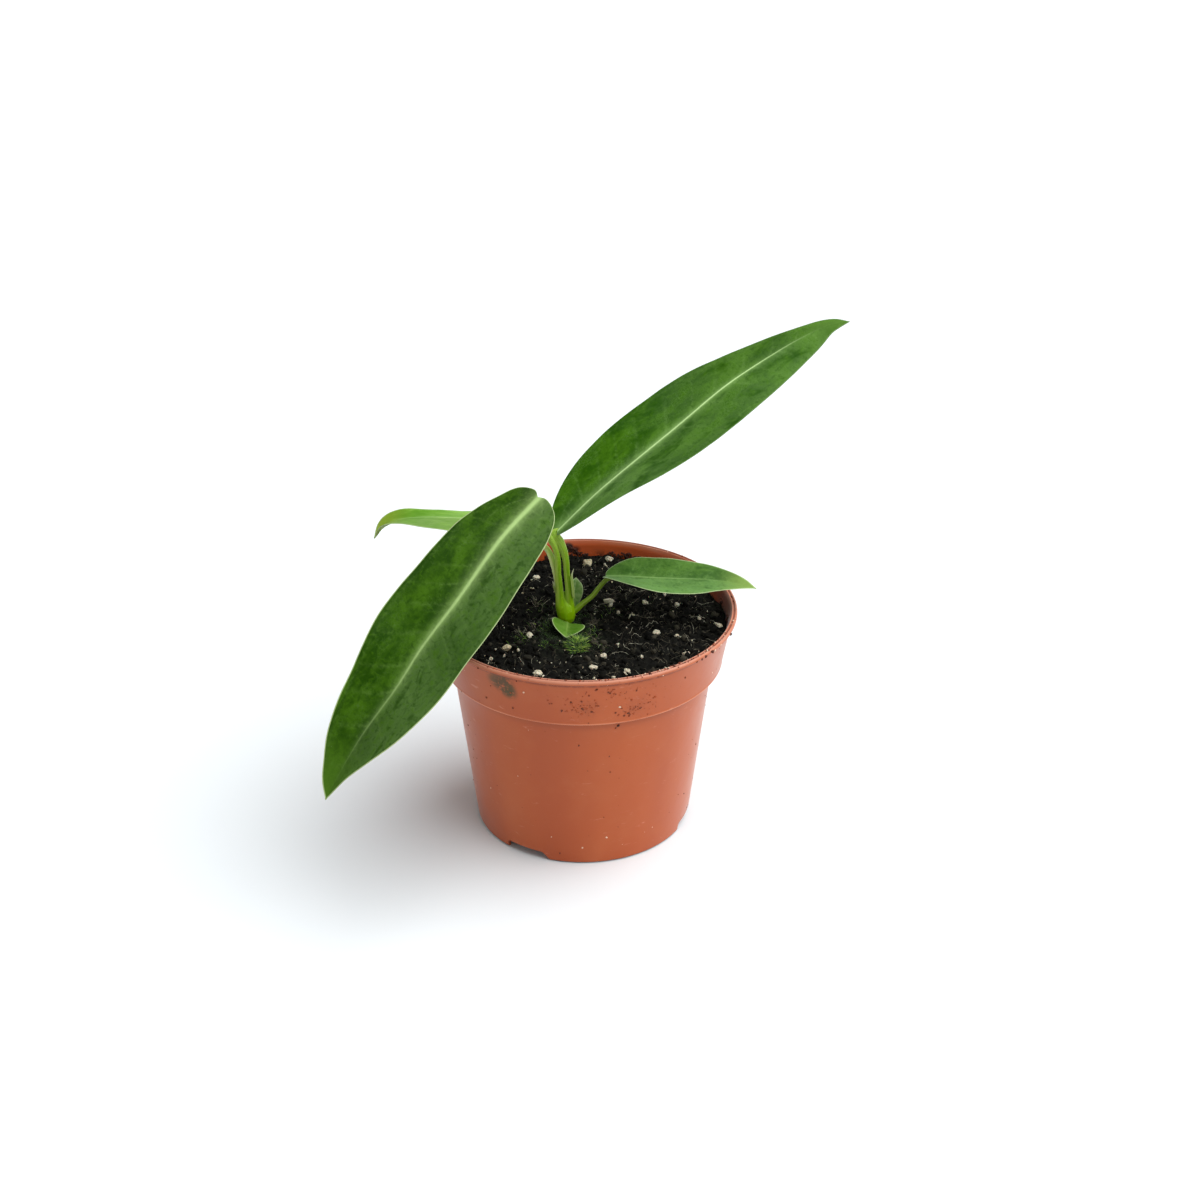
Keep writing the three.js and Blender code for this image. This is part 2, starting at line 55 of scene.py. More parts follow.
class Shader:
    """A material with one surface shader, whose colour is laid on coat by coat.

    Colours go from 0 to 255, and a word stands for the mesh's own value of that name.
    """

    def __init__(self, name, **values):
        self.material = bpy.data.materials.new(name)
        self.material.use_nodes = True
        self.tree = self.material.node_tree
        self.tree.nodes.clear()
        self.shader = self.node("BsdfPrincipled", {k.replace("_", " "): v for k, v in values.items()})
        self.node("OutputMaterial", {0: self.shader.outputs[0]})

    def node(self, kind, inputs, **settings):
        """Adds a node, with its inputs by name or number."""
        node = self.tree.nodes.new("ShaderNode" + kind)
        for name, value in settings.items():
            setattr(node, name, value)
        for place, value in inputs.items():
            self.put(value, node.inputs[place])
        return node

    def put(self, value, socket):
        if isinstance(value, str):
            value = self.node("Attribute", {}, attribute_name=value).outputs["Fac"]
        if isinstance(value, bpy.types.NodeSocket):
            self.tree.links.new(value, socket)
        elif value is not None:
            on_screen = socket.type == "RGBA" and len(value) == 3
            socket.default_value = linear(value) if on_screen else value

    def times(self, a, b, clamp=False):
        return self.node("Math", {0: a, 1: b}, operation="MULTIPLY", use_clamp=clamp).outputs[0]

    def mix(self, share, a, b):
        return self.node("Mix", {0: share, 6: a, 7: b}, data_type="RGBA").outputs[2]

    def rise(self, value, low, high, bottom=0, top=1):
        """Goes smoothly from bottom to top as value goes from low to high."""
        inputs = dict(enumerate((value, low, high, bottom, top)))
        return self.node("MapRange", inputs, interpolation_type="SMOOTHSTEP").outputs[0]

    def coordinates(self, kind="Object", scale=(1, 1, 1), turn=0):
        source = self.node("TexCoord", {}).outputs[kind]
        return self.node("Mapping", dict(Vector=source, Scale=scale, Rotation=(0, 0, turn))).outputs[0]

    def noise(self, vector, scale, detail=4, roughness=0.5, distortion=0):
        inputs = dict(Vector=vector, Scale=scale, Detail=detail, Roughness=roughness, Distortion=distortion)
        return self.node("TexNoise", inputs).outputs[0]

    def cells(self, vector, scale, feature="F1"):
        """Distance to the middle of the nearest cell, or to its edge."""
        return self.node("TexVoronoi", dict(Vector=vector, Scale=scale), feature=feature).outputs["Distance"]

    def near(self, vector, place, inner, outer):
        """One within inner millimetres of a place, and nothing beyond outer millimetres."""
        ends = {0: vector, 1: [c * MM for c in place]}
        away = self.node("VectorMath", ends, operation="DISTANCE").outputs["Value"]
        return self.rise(away, inner * MM, outer * MM, 1, 0)

    def bump(self, height, strength, distance, under=None):
        inputs = dict(Strength=strength, Distance=distance, Height=height, Normal=under)
        return self.node("Bump", inputs).outputs[0]

    def base(self, share, low, high):
        self.colour = self.mix(share, low, high)

    def coat(self, share, colour):
        self.colour = self.mix(share, self.colour, colour)

    def finish(self, relief=None, roughness=None):
        for name, value in (("Base Color", self.colour), ("Normal", relief), ("Roughness", roughness)):
            self.put(value, self.shader.inputs[name])
        return self


# Curves and pieces

def unit(vectors):
    return vectors / np.linalg.norm(vectors, axis=-1, keepdims=True)


def hill(distance, width):
    return np.exp(-(distance / width) ** 2)


class Curve:
    """A smooth curve through its points, read by share of its length."""
    PARTS = 200

    def __init__(self, points):
        self.points = np.array(points, float)
        steps = self.at(np.linspace(0, 1, self.PARTS + 1))
        parts = np.linalg.norm(np.diff(steps, axis=0), axis=1)
        self.lengths = np.concatenate([[0], np.cumsum(parts)])
        self.length = self.lengths[-1]

    def at(self, t):
        points = self.points
        place = (len(points) - 1) * np.asarray(t, float)
        step = np.clip(np.floor(place).astype(int), 0, len(points) - 2)
        w = (place - step)[..., None]
        longer = np.vstack([2 * points[0] - points[1], points, 2 * points[-1] - points[-2]])
        p0, p1, p2, p3 = (longer[step + i] for i in range(4))

        def knot(a, b):
            return np.maximum(((a - b) ** 2).sum(-1, keepdims=True) ** 0.25, 1e-4)

        d0, d1, d2 = knot(p0, p1), knot(p1, p2), knot(p2, p3)
        start = ((p1 - p0) / d0 - (p2 - p0) / (d0 + d1) + (p2 - p1) / d1) * d1
        end = ((p2 - p1) / d1 - (p3 - p1) / (d1 + d2) + (p3 - p2) / d2) * d1
        square = -3 * p1 + 3 * p2 - 2 * start - end
        cube = 2 * p1 - 2 * p2 + start + end
        return p1 + start * w + square * w ** 2 + cube * w ** 3

    def share(self, u):
        distance = np.clip(np.asarray(u, float), 0, 1) * self.length
        return self.at(np.interp(distance, self.lengths, np.linspace(0, 1, self.PARTS + 1)))

    def heading(self, u, reach):
        return unit(self.share(np.minimum(u + reach, 1)) - self.share(np.maximum(u - reach, 0)))


def along_steps(values, u):
    """Reads a list of values given at even steps from base to tip, with its corners eased."""
    u = np.clip(u, 0, 1)
    reach = np.minimum(0.14, np.minimum(u, 1 - u))
    steps = np.linspace(0, 1, len(values))
    return sum(np.interp(u + k * reach, steps, values) for k in (-1, -0.5, 0, 0.5, 1)) / 5


def make_piece(name, verts, faces, shader, node=None, values=None, uv=None):
    """A smooth mesh object that rides on the root body. Lengths come in millimetres."""
    mesh = bpy.data.meshes.new(name)
    mesh.from_pydata((np.asarray(verts, float) * MM).tolist(), [], faces)
    for label, numbers in (values or {}).items():
        layer = mesh.attributes.new(label, "FLOAT", "POINT")
        layer.data.foreach_set("value", np.asarray(numbers, np.float32))
    if uv is not None:
        corners = np.zeros(len(mesh.loops), np.int32)
        mesh.loops.foreach_get("vertex_index", corners)
        layer = mesh.uv_layers.new(name="flat")
        layer.data.foreach_set("uv", np.asarray(uv, np.float32)[corners].ravel())
    mesh.materials.append(shader.material)
    mesh.polygons.foreach_set("use_smooth", [True] * len(mesh.polygons))
    mesh.update()
    piece = bpy.data.objects.new(name, mesh)
    bpy.context.scene.collection.objects.link(piece)
    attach(piece, "root")
    if node:
        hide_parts(node)
    return piece


class Batch:
    """Many small bodies gathered into one mesh."""

    def __init__(self):
        self.verts, self.faces, self.tint, self.count = [], [], [], 0

    def add(self, verts, faces, tint):
        self.verts.append(verts)
        self.faces.extend([i + self.count for i in face] for face in faces)
        self.tint.append(np.broadcast_to(tint, len(verts)))
        self.count += len(verts)

    def piece(self, name, shader, slot, node=None):
        values = {"tint": np.concatenate(self.tint)}
        make_piece(name, np.vstack(self.verts), self.faces, shader, node, values)


def ball(detail):
    """Corners and triangles of a sphere of radius 1."""
    bm = bmesh.new()
    bmesh.ops.create_icosphere(bm, subdivisions=detail, radius=1)
    verts = np.array([v.co[:] for v in bm.verts])
    faces = [[v.index for v in f.verts] for f in bm.faces]
    bm.free()
    return verts, faces


BALLS = {detail: ball(detail) for detail in (1, 2, 3, 4)}


def lump(rng, centre, size, detail, rough, turn=True):
    """An irregular lump: a sphere pushed in and out, stretched and turned."""
    verts, faces = BALLS[detail]
    waves = rng.normal(size=(5, 3)) * 2.2
    phase = rng.uniform(0, TURN, 5)
    push = 1 + rough * np.sin(verts @ waves.T + phase).mean(1) * 1.6
    verts = verts * push[:, None] * size
    if turn:
        q, _ = np.linalg.qr(rng.normal(size=(3, 3)))
        q[:, 0] *= np.sign(np.linalg.det(q))
        verts = verts @ q.T
    return verts + centre, faces


def ring(radius, z, sides, turn=0):
    """Points of a level circle, which may be turned by a share of a side."""
    angles = 2 * pi * (np.arange(sides) + turn) / sides
    return np.stack([radius * np.cos(angles), radius * np.sin(angles), np.full(sides, z)], axis=1)


def bands(rings, sides, start=0):
    """Faces between closed rings of points, one ring after another."""
    faces = []
    for i in range(start, start + (rings - 1) * sides, sides):
        for j in range(sides):
            a, b = i + j, i + (j + 1) % sides
            faces.append([a, b, b + sides, a + sides])
    return faces


def capped(rings, sides):
    """Faces of a solid of closed rings, flat at its first ring and its last."""
    last = (rings - 1) * sides
    return [*bands(rings, sides), list(range(sides))[::-1], list(range(last, last + sides))]


def turned(rings, sides):
    """Faces of a solid of closed rings between a first point and a last point."""
    faces = bands(rings, sides, 1)
    last = 1 + rings * sides
    for j in range(sides):
        k = (j + 1) % sides
        faces.extend([[0, 1 + k, 1 + j], [last, last - sides + j, last - sides + k]])
    return faces


def tube(points, radii, sides, steps, section=None, round_end=True):
    """A tube along a curve. Gives corners, faces, share of length and share of turn."""
    curve = Curve(points)
    u = np.linspace(0, 1, steps + 1)
    centres = curve.share(u)
    tangents = curve.heading(u, 0.01)
    knots = np.linspace(0, 1, len(radii))
    if len(radii) == len(points):
        knots = np.interp(knots, np.linspace(0, 1, curve.PARTS + 1), curve.lengths) / curve.length
    radius = np.interp(u, knots, radii)
    if round_end:
        reach = np.array([0.35, 0.7, 0.92])
        centres = np.vstack([centres, centres[-1] + tangents[-1] * radius[-1] * 0.7 * reach[:, None]])
        tangents = np.vstack([tangents, [tangents[-1]] * len(reach)])
        u = np.append(u, np.ones(len(reach)))
        radius = np.append(radius, radius[-1] * np.sqrt(1 - reach ** 2))
    upright = abs(tangents[0][2]) >= 0.9
    side = np.cross(tangents[0], [0, -1, 0.1] if upright else [0.13, 0.2, 0.97])
    angles = np.linspace(0, 2 * pi, sides, endpoint=False)
    rings = []
    for centre, tangent, share, size in zip(centres, tangents, u, radius):
        side = unit(side - tangent * (side @ tangent))
        scale = size if section is None else size * section(angles, share)
        rings.append(centre + np.outer(np.cos(angles) * scale, side)
                     + np.outer(np.sin(angles) * scale, np.cross(tangent, side)))
    faces = capped(len(rings), sides)
    return np.vstack(rings), faces, np.repeat(u, sides), np.tile(angles / (2 * pi), len(rings))


# Blades of the leaves, cut flat and bent along the midrib

RIB_LEAN = 1.5


class Blade:
    """A leaf's surface: its midrib, its roll and fold from base to tip, and the outlines of its halves."""

    def __init__(self, midrib, fold, right, left=None, roll=(0, 0), face=(0, 0, 1)):
        self.curve = Curve(midrib)
        self.length = self.curve.length
        self.roll, self.fold = roll, fold
        self.face = unit(np.array(face, float))
        self.right, self.left = (
            Curve([[0, 0], *([along, across * sign] for along, across in half), [self.length, 0]])
            for half, sign in ((right, 1), (left or right, -1)))

    def point(self, along, across, lift):
        u = np.clip(along / self.length, 0, 1)
        axis = self.curve.heading(u, 0.02)
        up = unit(self.face - axis * (axis @ self.face)[..., None])
        turn = -np.radians(along_steps(self.roll, u))[..., None]
        up = up * np.cos(turn) + np.cross(axis, up) * np.sin(turn)
        fold = np.radians(along_steps(self.fold, u))
        point = self.curve.share(u) + axis * (along - u * self.length)[..., None]
        point = point + np.cross(axis, up) * (across * np.cos(fold))[..., None]
        return point + up * (np.abs(across) * np.sin(fold) + lift)[..., None]


def eased(count, pinch):
    """Even steps from 0 to 1, drawn together at both ends."""
    s = np.linspace(0, 1, count + 1)
    return s - pinch * np.sin(2 * pi * s) / (2 * pi)


def quads(grid):
    """Four-sided faces over a grid of corner numbers."""
    corners = grid[:-1, :-1], grid[:-1, 1:], grid[1:, 1:], grid[1:, :-1]
    return np.stack(corners, axis=-1).reshape(-1, 4)


def leaf_piece(name, node, shader, rows, columns, thickness=0.4, veins=4, rib=(0.5, 0.2),
               keel=(1.1, 0.3), glow=(1.7, 0.8), wave=0.2, crown=0.1, seed=0, shift=(0, 0), basal=0):
    """A leaf with a raised midrib, sunken side veins and a thin margin, closed all round."""
    blade = BLADES[node]
    half = eased(columns, 0.72)
    t, k = np.meshgrid(eased(rows, 0.35), np.concatenate([-half[:0:-1], half]), indexing="ij")
    outline = np.where((k < 0)[..., None], blade.left.share(t), blade.right.share(t))
    start = blade.length * t ** RIB_LEAN
    out = np.abs(k)
    along = start + (outline[..., 0] - start) * out
    across = outline[..., 1] * out
    width = np.abs(outline[..., 1])
    u = np.clip(along / blade.length, 0, 1)
    sign = np.sign(k)

    # Side veins are staggered from one half to the other, and meet near the margin.
    wobble = 0.16 * np.sin(9.1 * t + 2.3 * seed) + 0.1 * np.sin(23 * t + sign * 1.7)
    turns = veins * t ** (RIB_LEAN * 0.75) + 0.25 * sign + wobble + 0.35 * out ** 2
    spacing = blade.length / veins
    off = np.abs(turns - np.round(turns)) * spacing
    vein = hill(off, 0.55 + 0.25 * (1 - out)) * np.clip(1.15 - out, 0, 1)
    second = np.abs(2 * turns + 0.5 - np.round(2 * turns + 0.5)) * spacing / 2
    vein = np.maximum(vein, 0.45 * hill(second, 0.45) * np.clip(1 - out * 1.4, 0, 1))
    vein = np.maximum(vein, 0.5 * hill((out - 0.9) * width, 0.5) * (width > 4))

    from_rib = across - along_steps(shift, u)
    distance = np.abs(from_rib)
    rib_value = hill(distance, rib[0] + (rib[1] - rib[0]) * u ** 0.45)
    halo = np.exp(-(distance / (glow[0] + (glow[1] - glow[0]) * u ** 0.4)) ** 1.15)
    if basal:
        course = basal * (1 - np.exp(-(along + 1) / 10))
        vein = np.maximum(vein, 1.3 * hill(distance - course, 0.45) * np.clip(1.1 - u * 3.2, 0, 1))
    to_edge = (1 - out) * np.maximum(width, 0.5)

    ripple = np.sin(along * 0.16 + 1.3 * seed + 1.1 * sign) * out ** 3
    ripple = ripple + 0.4 * np.sin(along * 0.41 + 2.1 * sign) * out ** 4
    quilt = crown * 0.35 * (0.5 - 0.5 * np.cos(pi * 2 * turns)) * np.sin(pi * out)
    lift = (wave * ripple + quilt - 0.05 * vein) * np.clip(np.minimum(u, 1 - u) * 12, 0, 1)
    body = 0.5 * thickness * np.clip(0.25 + to_edge / 1.2, 0.25, 1)
    depth = keel[0] + (keel[1] - keel[0]) * u
    upper = lift + body + 0.16 * rib_value * (1 - 0.5 * u)
    lower = lift - body - depth * 0.75 * hill(distance, 0.8 * depth) * np.clip(u * 40, 0.4, 1)
    verts = np.vstack([blade.point(along, across, height).reshape(-1, 3) for height in (upper, lower)])

    # On each side the first row and the last are one point.
    top = np.arange(t.size).reshape(t.shape)
    top[[0, -1]] = top[[0, -1], :1]
    low = top + t.size
    left, right = (np.stack([top[:, j], low[:, j]], axis=1) for j in (0, -1))
    faces = np.vstack([quads(top), quads(low)[:, ::-1], quads(left)[:, ::-1], quads(right)])
    used = np.zeros(len(verts), bool)
    used[faces] = True
    faces = [list(dict.fromkeys(face)) for face in (np.cumsum(used) - 1)[faces].tolist()]

    def both(value):
        return np.tile(value.ravel(), 2)[used]

    values = {"rib": rib_value, "halo": halo, "vein": vein, "edge": hill(to_edge, 0.32), "reach": u,
              "side": np.tanh(from_rib / 1.5)}
    values = {label: both(value) for label, value in values.items()}
    values["below"] = np.repeat([0, 1], t.size)[used]
    uv = np.stack([both(across / 100 + 0.5), both(along / 100)], axis=1)
    make_piece(name, verts[used], faces, shader, node, values, uv)


BLADES = {
    "leaf_large_left": Blade(
        midrib=[[-16.6, 2, 136], [-30.4, -18, 128.4], [-45.4, -36, 113.1], [-58.7, -48.5, 99],
                [-67.5, -58, 87.5], [-79.5, -68, 73], [-92.5, -77, 52]],
        roll=[17, 31, 22], fold=[-8, 14, 30],
        right=[[-3, 3.5], [-1, 9.5], [8, 13], [34, 17.5], [71, 19.5], [106, 15], [134, 5.5]],
        left=[[-1.5, 2.5], [2, 9], [14, 14.5], [45, 18], [76, 19.4], [111, 15.3], [132, 4.5]]),
    "leaf_large_right": Blade(
        midrib=[[-9.2, 5, 121.1], [4.1, 13, 131.8], [20.4, 22, 142.8], [36.8, 32, 152.8], [55.8, 43, 165],
                [70.1, 51, 172], [85.4, 59, 178.5], [95.6, 64, 181.6], [106, 68, 182.6]],
        roll=[-8, -8, -37], fold=[25, 1, -24],
        right=[[-2, 3.5], [5, 9], [35, 19], [55, 20.6], [75, 19.1], [96, 15.3], [130, 6.6], [139, 2.6]],
        left=[[-1.5, 2.5], [2, 6], [7, 9.3], [28, 17], [62, 20.7], [78, 19.5], [96, 14.8], [129, 6],
              [142, 3.6]]),
    "leaf_back_left": Blade(
        midrib=[[-15.9, 8, 114.9], [-26, 12, 118.6], [-39.8, 17, 119.4], [-53.4, 22, 118.1],
                [-64, 26, 116.3], [-73, 29, 113.8], [-79.4, 31, 110], [-83.4, 32, 104.4]],
        roll=[12, -4, 17], fold=[11.5, -10, 38.5],
        right=[[-2, 3], [10, 9.6], [24, 11], [36, 10.2], [52, 6], [68, 4.8]],
        left=[[-2, 3], [10, 9.6], [24, 11], [44, 9.4], [60, 6.4], [71, 1.8]]),
    "leaf_small_right": Blade(
        midrib=[[9.1, 4, 101.6], [17.7, 3.5, 101.7], [27.4, 3, 101.4], [37.7, 2.5, 101.3],
                [48.1, 2, 101.1], [58.1, 1, 100.1], [67.2, 0, 98.4]],
        roll=[3.5, -17.5, -7], fold=[18, 5, 10],
        right=[[-1, 3], [4, 8.3], [12, 11.2], [22, 10.4], [39, 8.6], [48, 5.6], [54, 2.4]],
        left=[[0, 2.5], [4, 7.8], [11, 11], [20, 10.8], [35, 9], [48, 6.2], [54, 3.4]]),
    "leaf_tiny_front": Blade(
        midrib=[[-5.8, -1.15, 84.3], [-5.8, -4.6, 84.7], [-6, -9.5, 84.9], [-6.2, -14.4, 84.6]],
        roll=[8, 8, 8], fold=[20, 18, 15],
        right=[[1, 0.8], [1.2, 2.6], [1.2, 4.8], [2.8, 6.2], [5.8, 6.4], [9.6, 4.5]],
        left=[[1.5, 0.8], [3.2, 2.2], [3.9, 4.6], [5.3, 6.6], [7.7, 6.9], [10.8, 4.2]]),
    "leaf_round_back": Blade(
        midrib=[[-5, 5.8, 84.8], [-4.2, 7.1, 87.5], [-3.4, 7.8, 92.5], [-2.5, 8.8, 98.8]],
        face=(0.2, -1, 0.2), fold=[20, 15, 20],
        right=[[1, 0.9], [4, 2.4], [8.5, 3.5], [12, 2.9], [13.6, 1.4]],
        left=[[1, 0.9], [4, 2.2], [8.5, 3.3], [12, 2.9], [13.6, 1.4]]),
    "cataphyll_left": Blade(
        midrib=[[-10.1, 1.3, 94.9], [-10.95, 1.2, 97.9], [-11.4, 1.3, 100.9]],
        face=(-1, -0.2, 0.2), fold=[-20, -20, -15],
        right=[[0.5, 0.6], [3, 1], [5, 0.8]]),
    "cataphyll_right": Blade(
        midrib=[[-3.2, 0.9, 93.6], [-3.6, 1.1, 99.3], [-3.9, 1.1, 103.7], [-3.3, 1, 106.5]],
        face=(1, -0.9, 0.1), fold=[-15, -15, -10],
        right=[[1, 0.6], [6, 0.65], [10.5, 0.4]]),
}


def leaf_shader(name, dark, light, grey, rib, halo, edge, tip, sheen_side=1, sheen_share=0.5, halo_share=0.7,
                rib_share=1, rib_end=0.3, vein_share=0.2, tip_from=0.8, tip_share=0.8, gloss=0.1,
                sheen_end=1, far_grey=0, streak=1, patch=22, mottle=0.5, rib_fade=(0.3, 1)):
    """Velvety green with a pale midrib that glows into the blade, faint side veins, a pale margin that is
    partly a painted rim highlight, and a painted sheen that greys one half.
    """
    s = Shader(name, Specular_IOR_Level=gloss)
    flat = s.coordinates("UV")
    long = s.coordinates("UV", (1, 0.45 * streak, 1), 0.25 * streak)
    clouds = s.noise(long, 9, 5, 0.6, 0.3)
    patches = s.noise(long, patch, 4, 0.6, 0.6)
    blots = s.noise(s.coordinates("UV", (1, streak, 1)), 52, 4, 0.6, 0.4)
    s.base(s.rise(clouds, 0.36, 0.66), dark, light)
    # Painted sheen: the half of the blade on one side of the midrib is greyed, as a sheen of the
    # surroundings would grey it.
    half = s.rise("side", -0.8 * sheen_side, 0.9 * sheen_side)
    half = s.times(half, s.rise(clouds, 0.25, 0.6, sheen_share * 0.5, sheen_share))
    s.coat(s.times(half, s.rise("reach", 0.15, 0.5, 1, sheen_end)), grey)
    if far_grey:
        s.coat(s.times(s.rise("reach", 0.25, 0.5), s.rise(patches, 0.3, 0.55, 0.1, far_grey)), grey)
    s.coat(s.rise(patches, 0.48, 0.72, 0, 0.6), light)
    s.coat(s.rise(patches, 0.3, 0.5, 0.75, 0), dark)
    s.coat(s.rise(blots, 0.5, 0.72, 0, mottle), light)
    s.coat(s.rise(blots, 0.28, 0.5, mottle, 0), dark)
    net = s.rise(s.cells(flat, 90, "DISTANCE_TO_EDGE"), 0, 0.08, 0.4, 0)
    s.coat(s.times(net, s.rise(patches, 0.4, 0.7)), grey)
    s.coat(s.times(s.times("vein", s.rise(blots, 0.35, 0.65, 0.1, 1)), vein_share), halo)
    glow = s.times("halo", s.rise(s.noise(long, 60, 3, 0.6), 0.3, 0.7, 0.7, 1.1))
    s.coat(s.times(glow, s.rise("reach", 0.35, 1, halo_share, 0), clamp=True), halo)
    s.coat(s.rise("reach", tip_from, 1, 0, tip_share), tip)
    s.coat(s.times(s.rise("rib", 0, 0.95, 0, rib_share), s.rise("reach", *rib_fade, 1, rib_end)), rib)
    # The pale margin: partly the blade's own edge colour, partly a painted rim highlight.
    s.coat(s.rise("edge", 0.1, 0.75, 0, 0.75), edge)
    dots = s.rise(s.cells(flat, 42), 0.02, 0.05, 0.6, 0)
    s.coat(s.times(dots, s.rise(s.noise(flat, 13, 2), 0.5, 0.66)), (176, 196, 150))
    s.coat(s.times("below", 0.6), grey)
    relief = s.bump(blots, 0.35, 0.0006, s.bump(s.noise(flat, 300, 3, 0.6), 0.2, 0.0002))
    return s.finish(relief, s.rise(clouds, 0.3, 0.7, 0.39, 0.53))


mature = leaf_shader(
    "leaf_mature", (28, 60, 2), (58, 94, 12), (74, 102, 50), (160, 190, 120), (158, 188, 116),
    (190, 206, 150), (76, 114, 30), sheen_side=-1, sheen_share=0.85, rib_end=0, rib_share=0.9,
    vein_share=0.09, gloss=0.03, mottle=0.65)
rising = leaf_shader(
    "leaf_rising", (30, 72, 0), (66, 110, 14), (104, 140, 76), (190, 224, 152), (158, 196, 120),
    (104, 132, 74), (92, 132, 50), sheen_share=0.6, halo_share=0.75, rib_end=0, vein_share=0.12,
    tip_share=0.6, gloss=0.03, sheen_end=0.15, far_grey=0.25, patch=11, mottle=0.42, rib_fade=(0.6, 0.93))
young = leaf_shader(
    "leaf_young", (88, 142, 30), (138, 186, 74), (112, 142, 78), (178, 212, 134), (150, 186, 108),
    (190, 206, 156), (158, 176, 52), sheen_side=-1, sheen_share=0.65, halo_share=0.3, tip_from=0.7,
    rib_share=0.7, rib_end=0.1, vein_share=0.15, streak=0.3)
small = leaf_shader(
    "leaf_small", (52, 90, 30), (84, 124, 48), (108, 150, 82), (160, 196, 122), (118, 158, 84),
    (190, 208, 156), (134, 162, 78), halo_share=0.25, tip_from=0.7, rib_share=0.35, rib_end=0,
    vein_share=0.4, sheen_share=0.85)
tender = leaf_shader(
    "leaf_tender", (76, 118, 30), (102, 142, 50), (96, 138, 52), (150, 184, 92), (128, 164, 76),
    (190, 210, 150), (124, 160, 74), halo_share=0.3, rib_share=0.4, sheen_share=0.3, vein_share=0.12)


def sheath_shader():
    s = Shader("sheath_dry", Roughness=0.6, Sheen_Weight=0.1, Specular_IOR_Level=0.35)
    streaks = s.noise(s.coordinates("UV", (1, 0.06, 1)), 420, 4, 0.6)
    s.base(s.rise(streaks, 0.35, 0.7), (120, 148, 56), (160, 182, 100))
    s.coat(s.rise("reach", 0.6, 1, 0, 0.8), (216, 216, 184))
    return s.finish(s.bump(streaks, 0.5, 0.0002))


def pale_shader():
    s = Shader("leaf_pale", Roughness=0.5, Sheen_Weight=0.15, Specular_IOR_Level=0.35)
    flat = s.coordinates("UV")
    s.base(s.rise(s.noise(flat, 60, 4), 0.35, 0.65), (92, 130, 58), (126, 156, 92))
    s.coat(s.rise("edge", 0.1, 0.8, 0, 0.7), (176, 192, 150))
    s.coat(s.rise("rib", 0.4, 0.9, 0, 0.4), (160, 180, 130))
    return s.finish(s.bump(s.noise(flat, 200, 3), 0.3, 0.0003))


leaf_piece("blade_large_left", "leaf_large_left", mature, 240, 32, thickness=0.5,
           veins=13, rib=(1.2, 0.22), glow=(2.6, 0.8), wave=0.35, crown=0.25, seed=1,
           shift=(-0.3, -0.5, -0.6, -0.7, 0, 0), basal=11)
leaf_piece("blade_large_right", "leaf_large_right", rising, 240, 32, thickness=0.5,
           veins=13, rib=(0.8, 0.2), glow=(2.4, 0.8), wave=0.06, crown=0.25, seed=2,
           shift=(0.9, 1, 0.3, 0, 0, 0), basal=8)
leaf_piece("blade_back_left", "leaf_back_left", young, 150, 22, thickness=0.5, veins=10,
           rib=(0.6, 0.3), keel=(0.9, 0.3), crown=0.15, seed=3)
leaf_piece("blade_small_right", "leaf_small_right", small, 150, 24, veins=10,
           rib=(0.5, 0.25), keel=(0.7, 0.25), crown=0.15, seed=4)
leaf_piece("blade_tiny_front", "leaf_tiny_front", tender, 70, 18, veins=5, rib=(0.6, 0.3),
           keel=(0.45, 0.2), wave=0.12, seed=5)
leaf_piece("blade_round_back", "leaf_round_back", pale_shader(), 50, 14,
           keel=(0.35, 0.15), wave=0.1, seed=6)
sheath = sheath_shader()
for side, wave, seed in (("left", 0.12, 7), ("right", 0.1, 8)):
    leaf_piece(f"sheath_{side}", f"cataphyll_{side}", sheath, 30, 8, thickness=0.22, veins=2,
               rib=(0.2, 0.1), keel=(0.1, 0.05), wave=wave, crown=0, seed=seed)


# The stem and the petioles, whose bases run together in the crown

def stalk_shader(name, deep, fresh, pale, low, high):
    """Fresh green with lengthwise streaks and pale spots, a painted pale highlight along its ridges,
    yellower towards the crown.
    """
    s = Shader(name, Roughness=0.4, Specular_IOR_Level=0.14, Subsurface_Weight=0.12, Subsurface_Scale=0.002,
               Subsurface_Radius=(0.4, 1, 0.2))
    streaks = s.noise(s.coordinates("UV", (14, 1.2, 1)), 4, 4, 0.6, 0.2)
    spots = s.noise(s.coordinates(), 900, 3, 0.6)
    s.base(s.rise(streaks, 0.32, 0.68), deep, fresh)
    # Painted highlight: a pale band along the ridges on the stalk's sides.
    s.coat(s.rise("ridge", 0.3, 1, 0, 0.6), pale)
    s.coat(s.rise("height", low, high, 0.9, 0), (130, 176, 0))
    s.coat(s.rise("height", 110, 119, 0, 0.35), (164, 194, 84))
    s.coat(s.rise(spots, 0.55, 0.75, 0, 0.3), pale)
    return s.finish(s.bump(spots, 0.15, 0.0002, s.bump(streaks, 0.35, 0.0003)))


def grooved(depth, place):
    """A round section with one lengthwise channel."""
    def section(angles, u):
        away = np.abs((angles - place + pi) % (2 * pi) - pi)
        return 1 - depth * hill(away, 0.5)
    return section


def ribbed(angles, u):
    return 1 + 0.035 * np.sin(3 * angles + 5 * u) + 0.015 * np.sin(7 * angles)


def under_blade(node, *stops):
    """Stops along the underside of a blade's midrib, from the reach, depth and radius of each."""
    return [[*BLADES[node].point(np.array([reach]), np.zeros(1), np.array([-depth]))[0], radius]
            for reach, depth, radius in stops]


def stalk_piece(name, node, shader, sides, steps, section, stops):
    """A stalk through stops, each with its place and radius."""
    stops = np.array(stops, float)
    points = stops[:, :3]
    verts, faces, u, turn = tube(points, stops[:, 3], sides, steps, section)
    scale = section(turn * 2 * pi, 0)
    # Where the material paints a pale highlight along the stalk.
    ridge = (scale - scale.min()) / np.ptp(scale) * np.abs(np.sin(turn * 2 * pi + 1))
    uv = np.stack([turn, u * Curve(points).length / 100], axis=1)
    make_piece(name, verts, faces, shader, node, {"ridge": ridge, "height": verts[:, 2]}, uv)


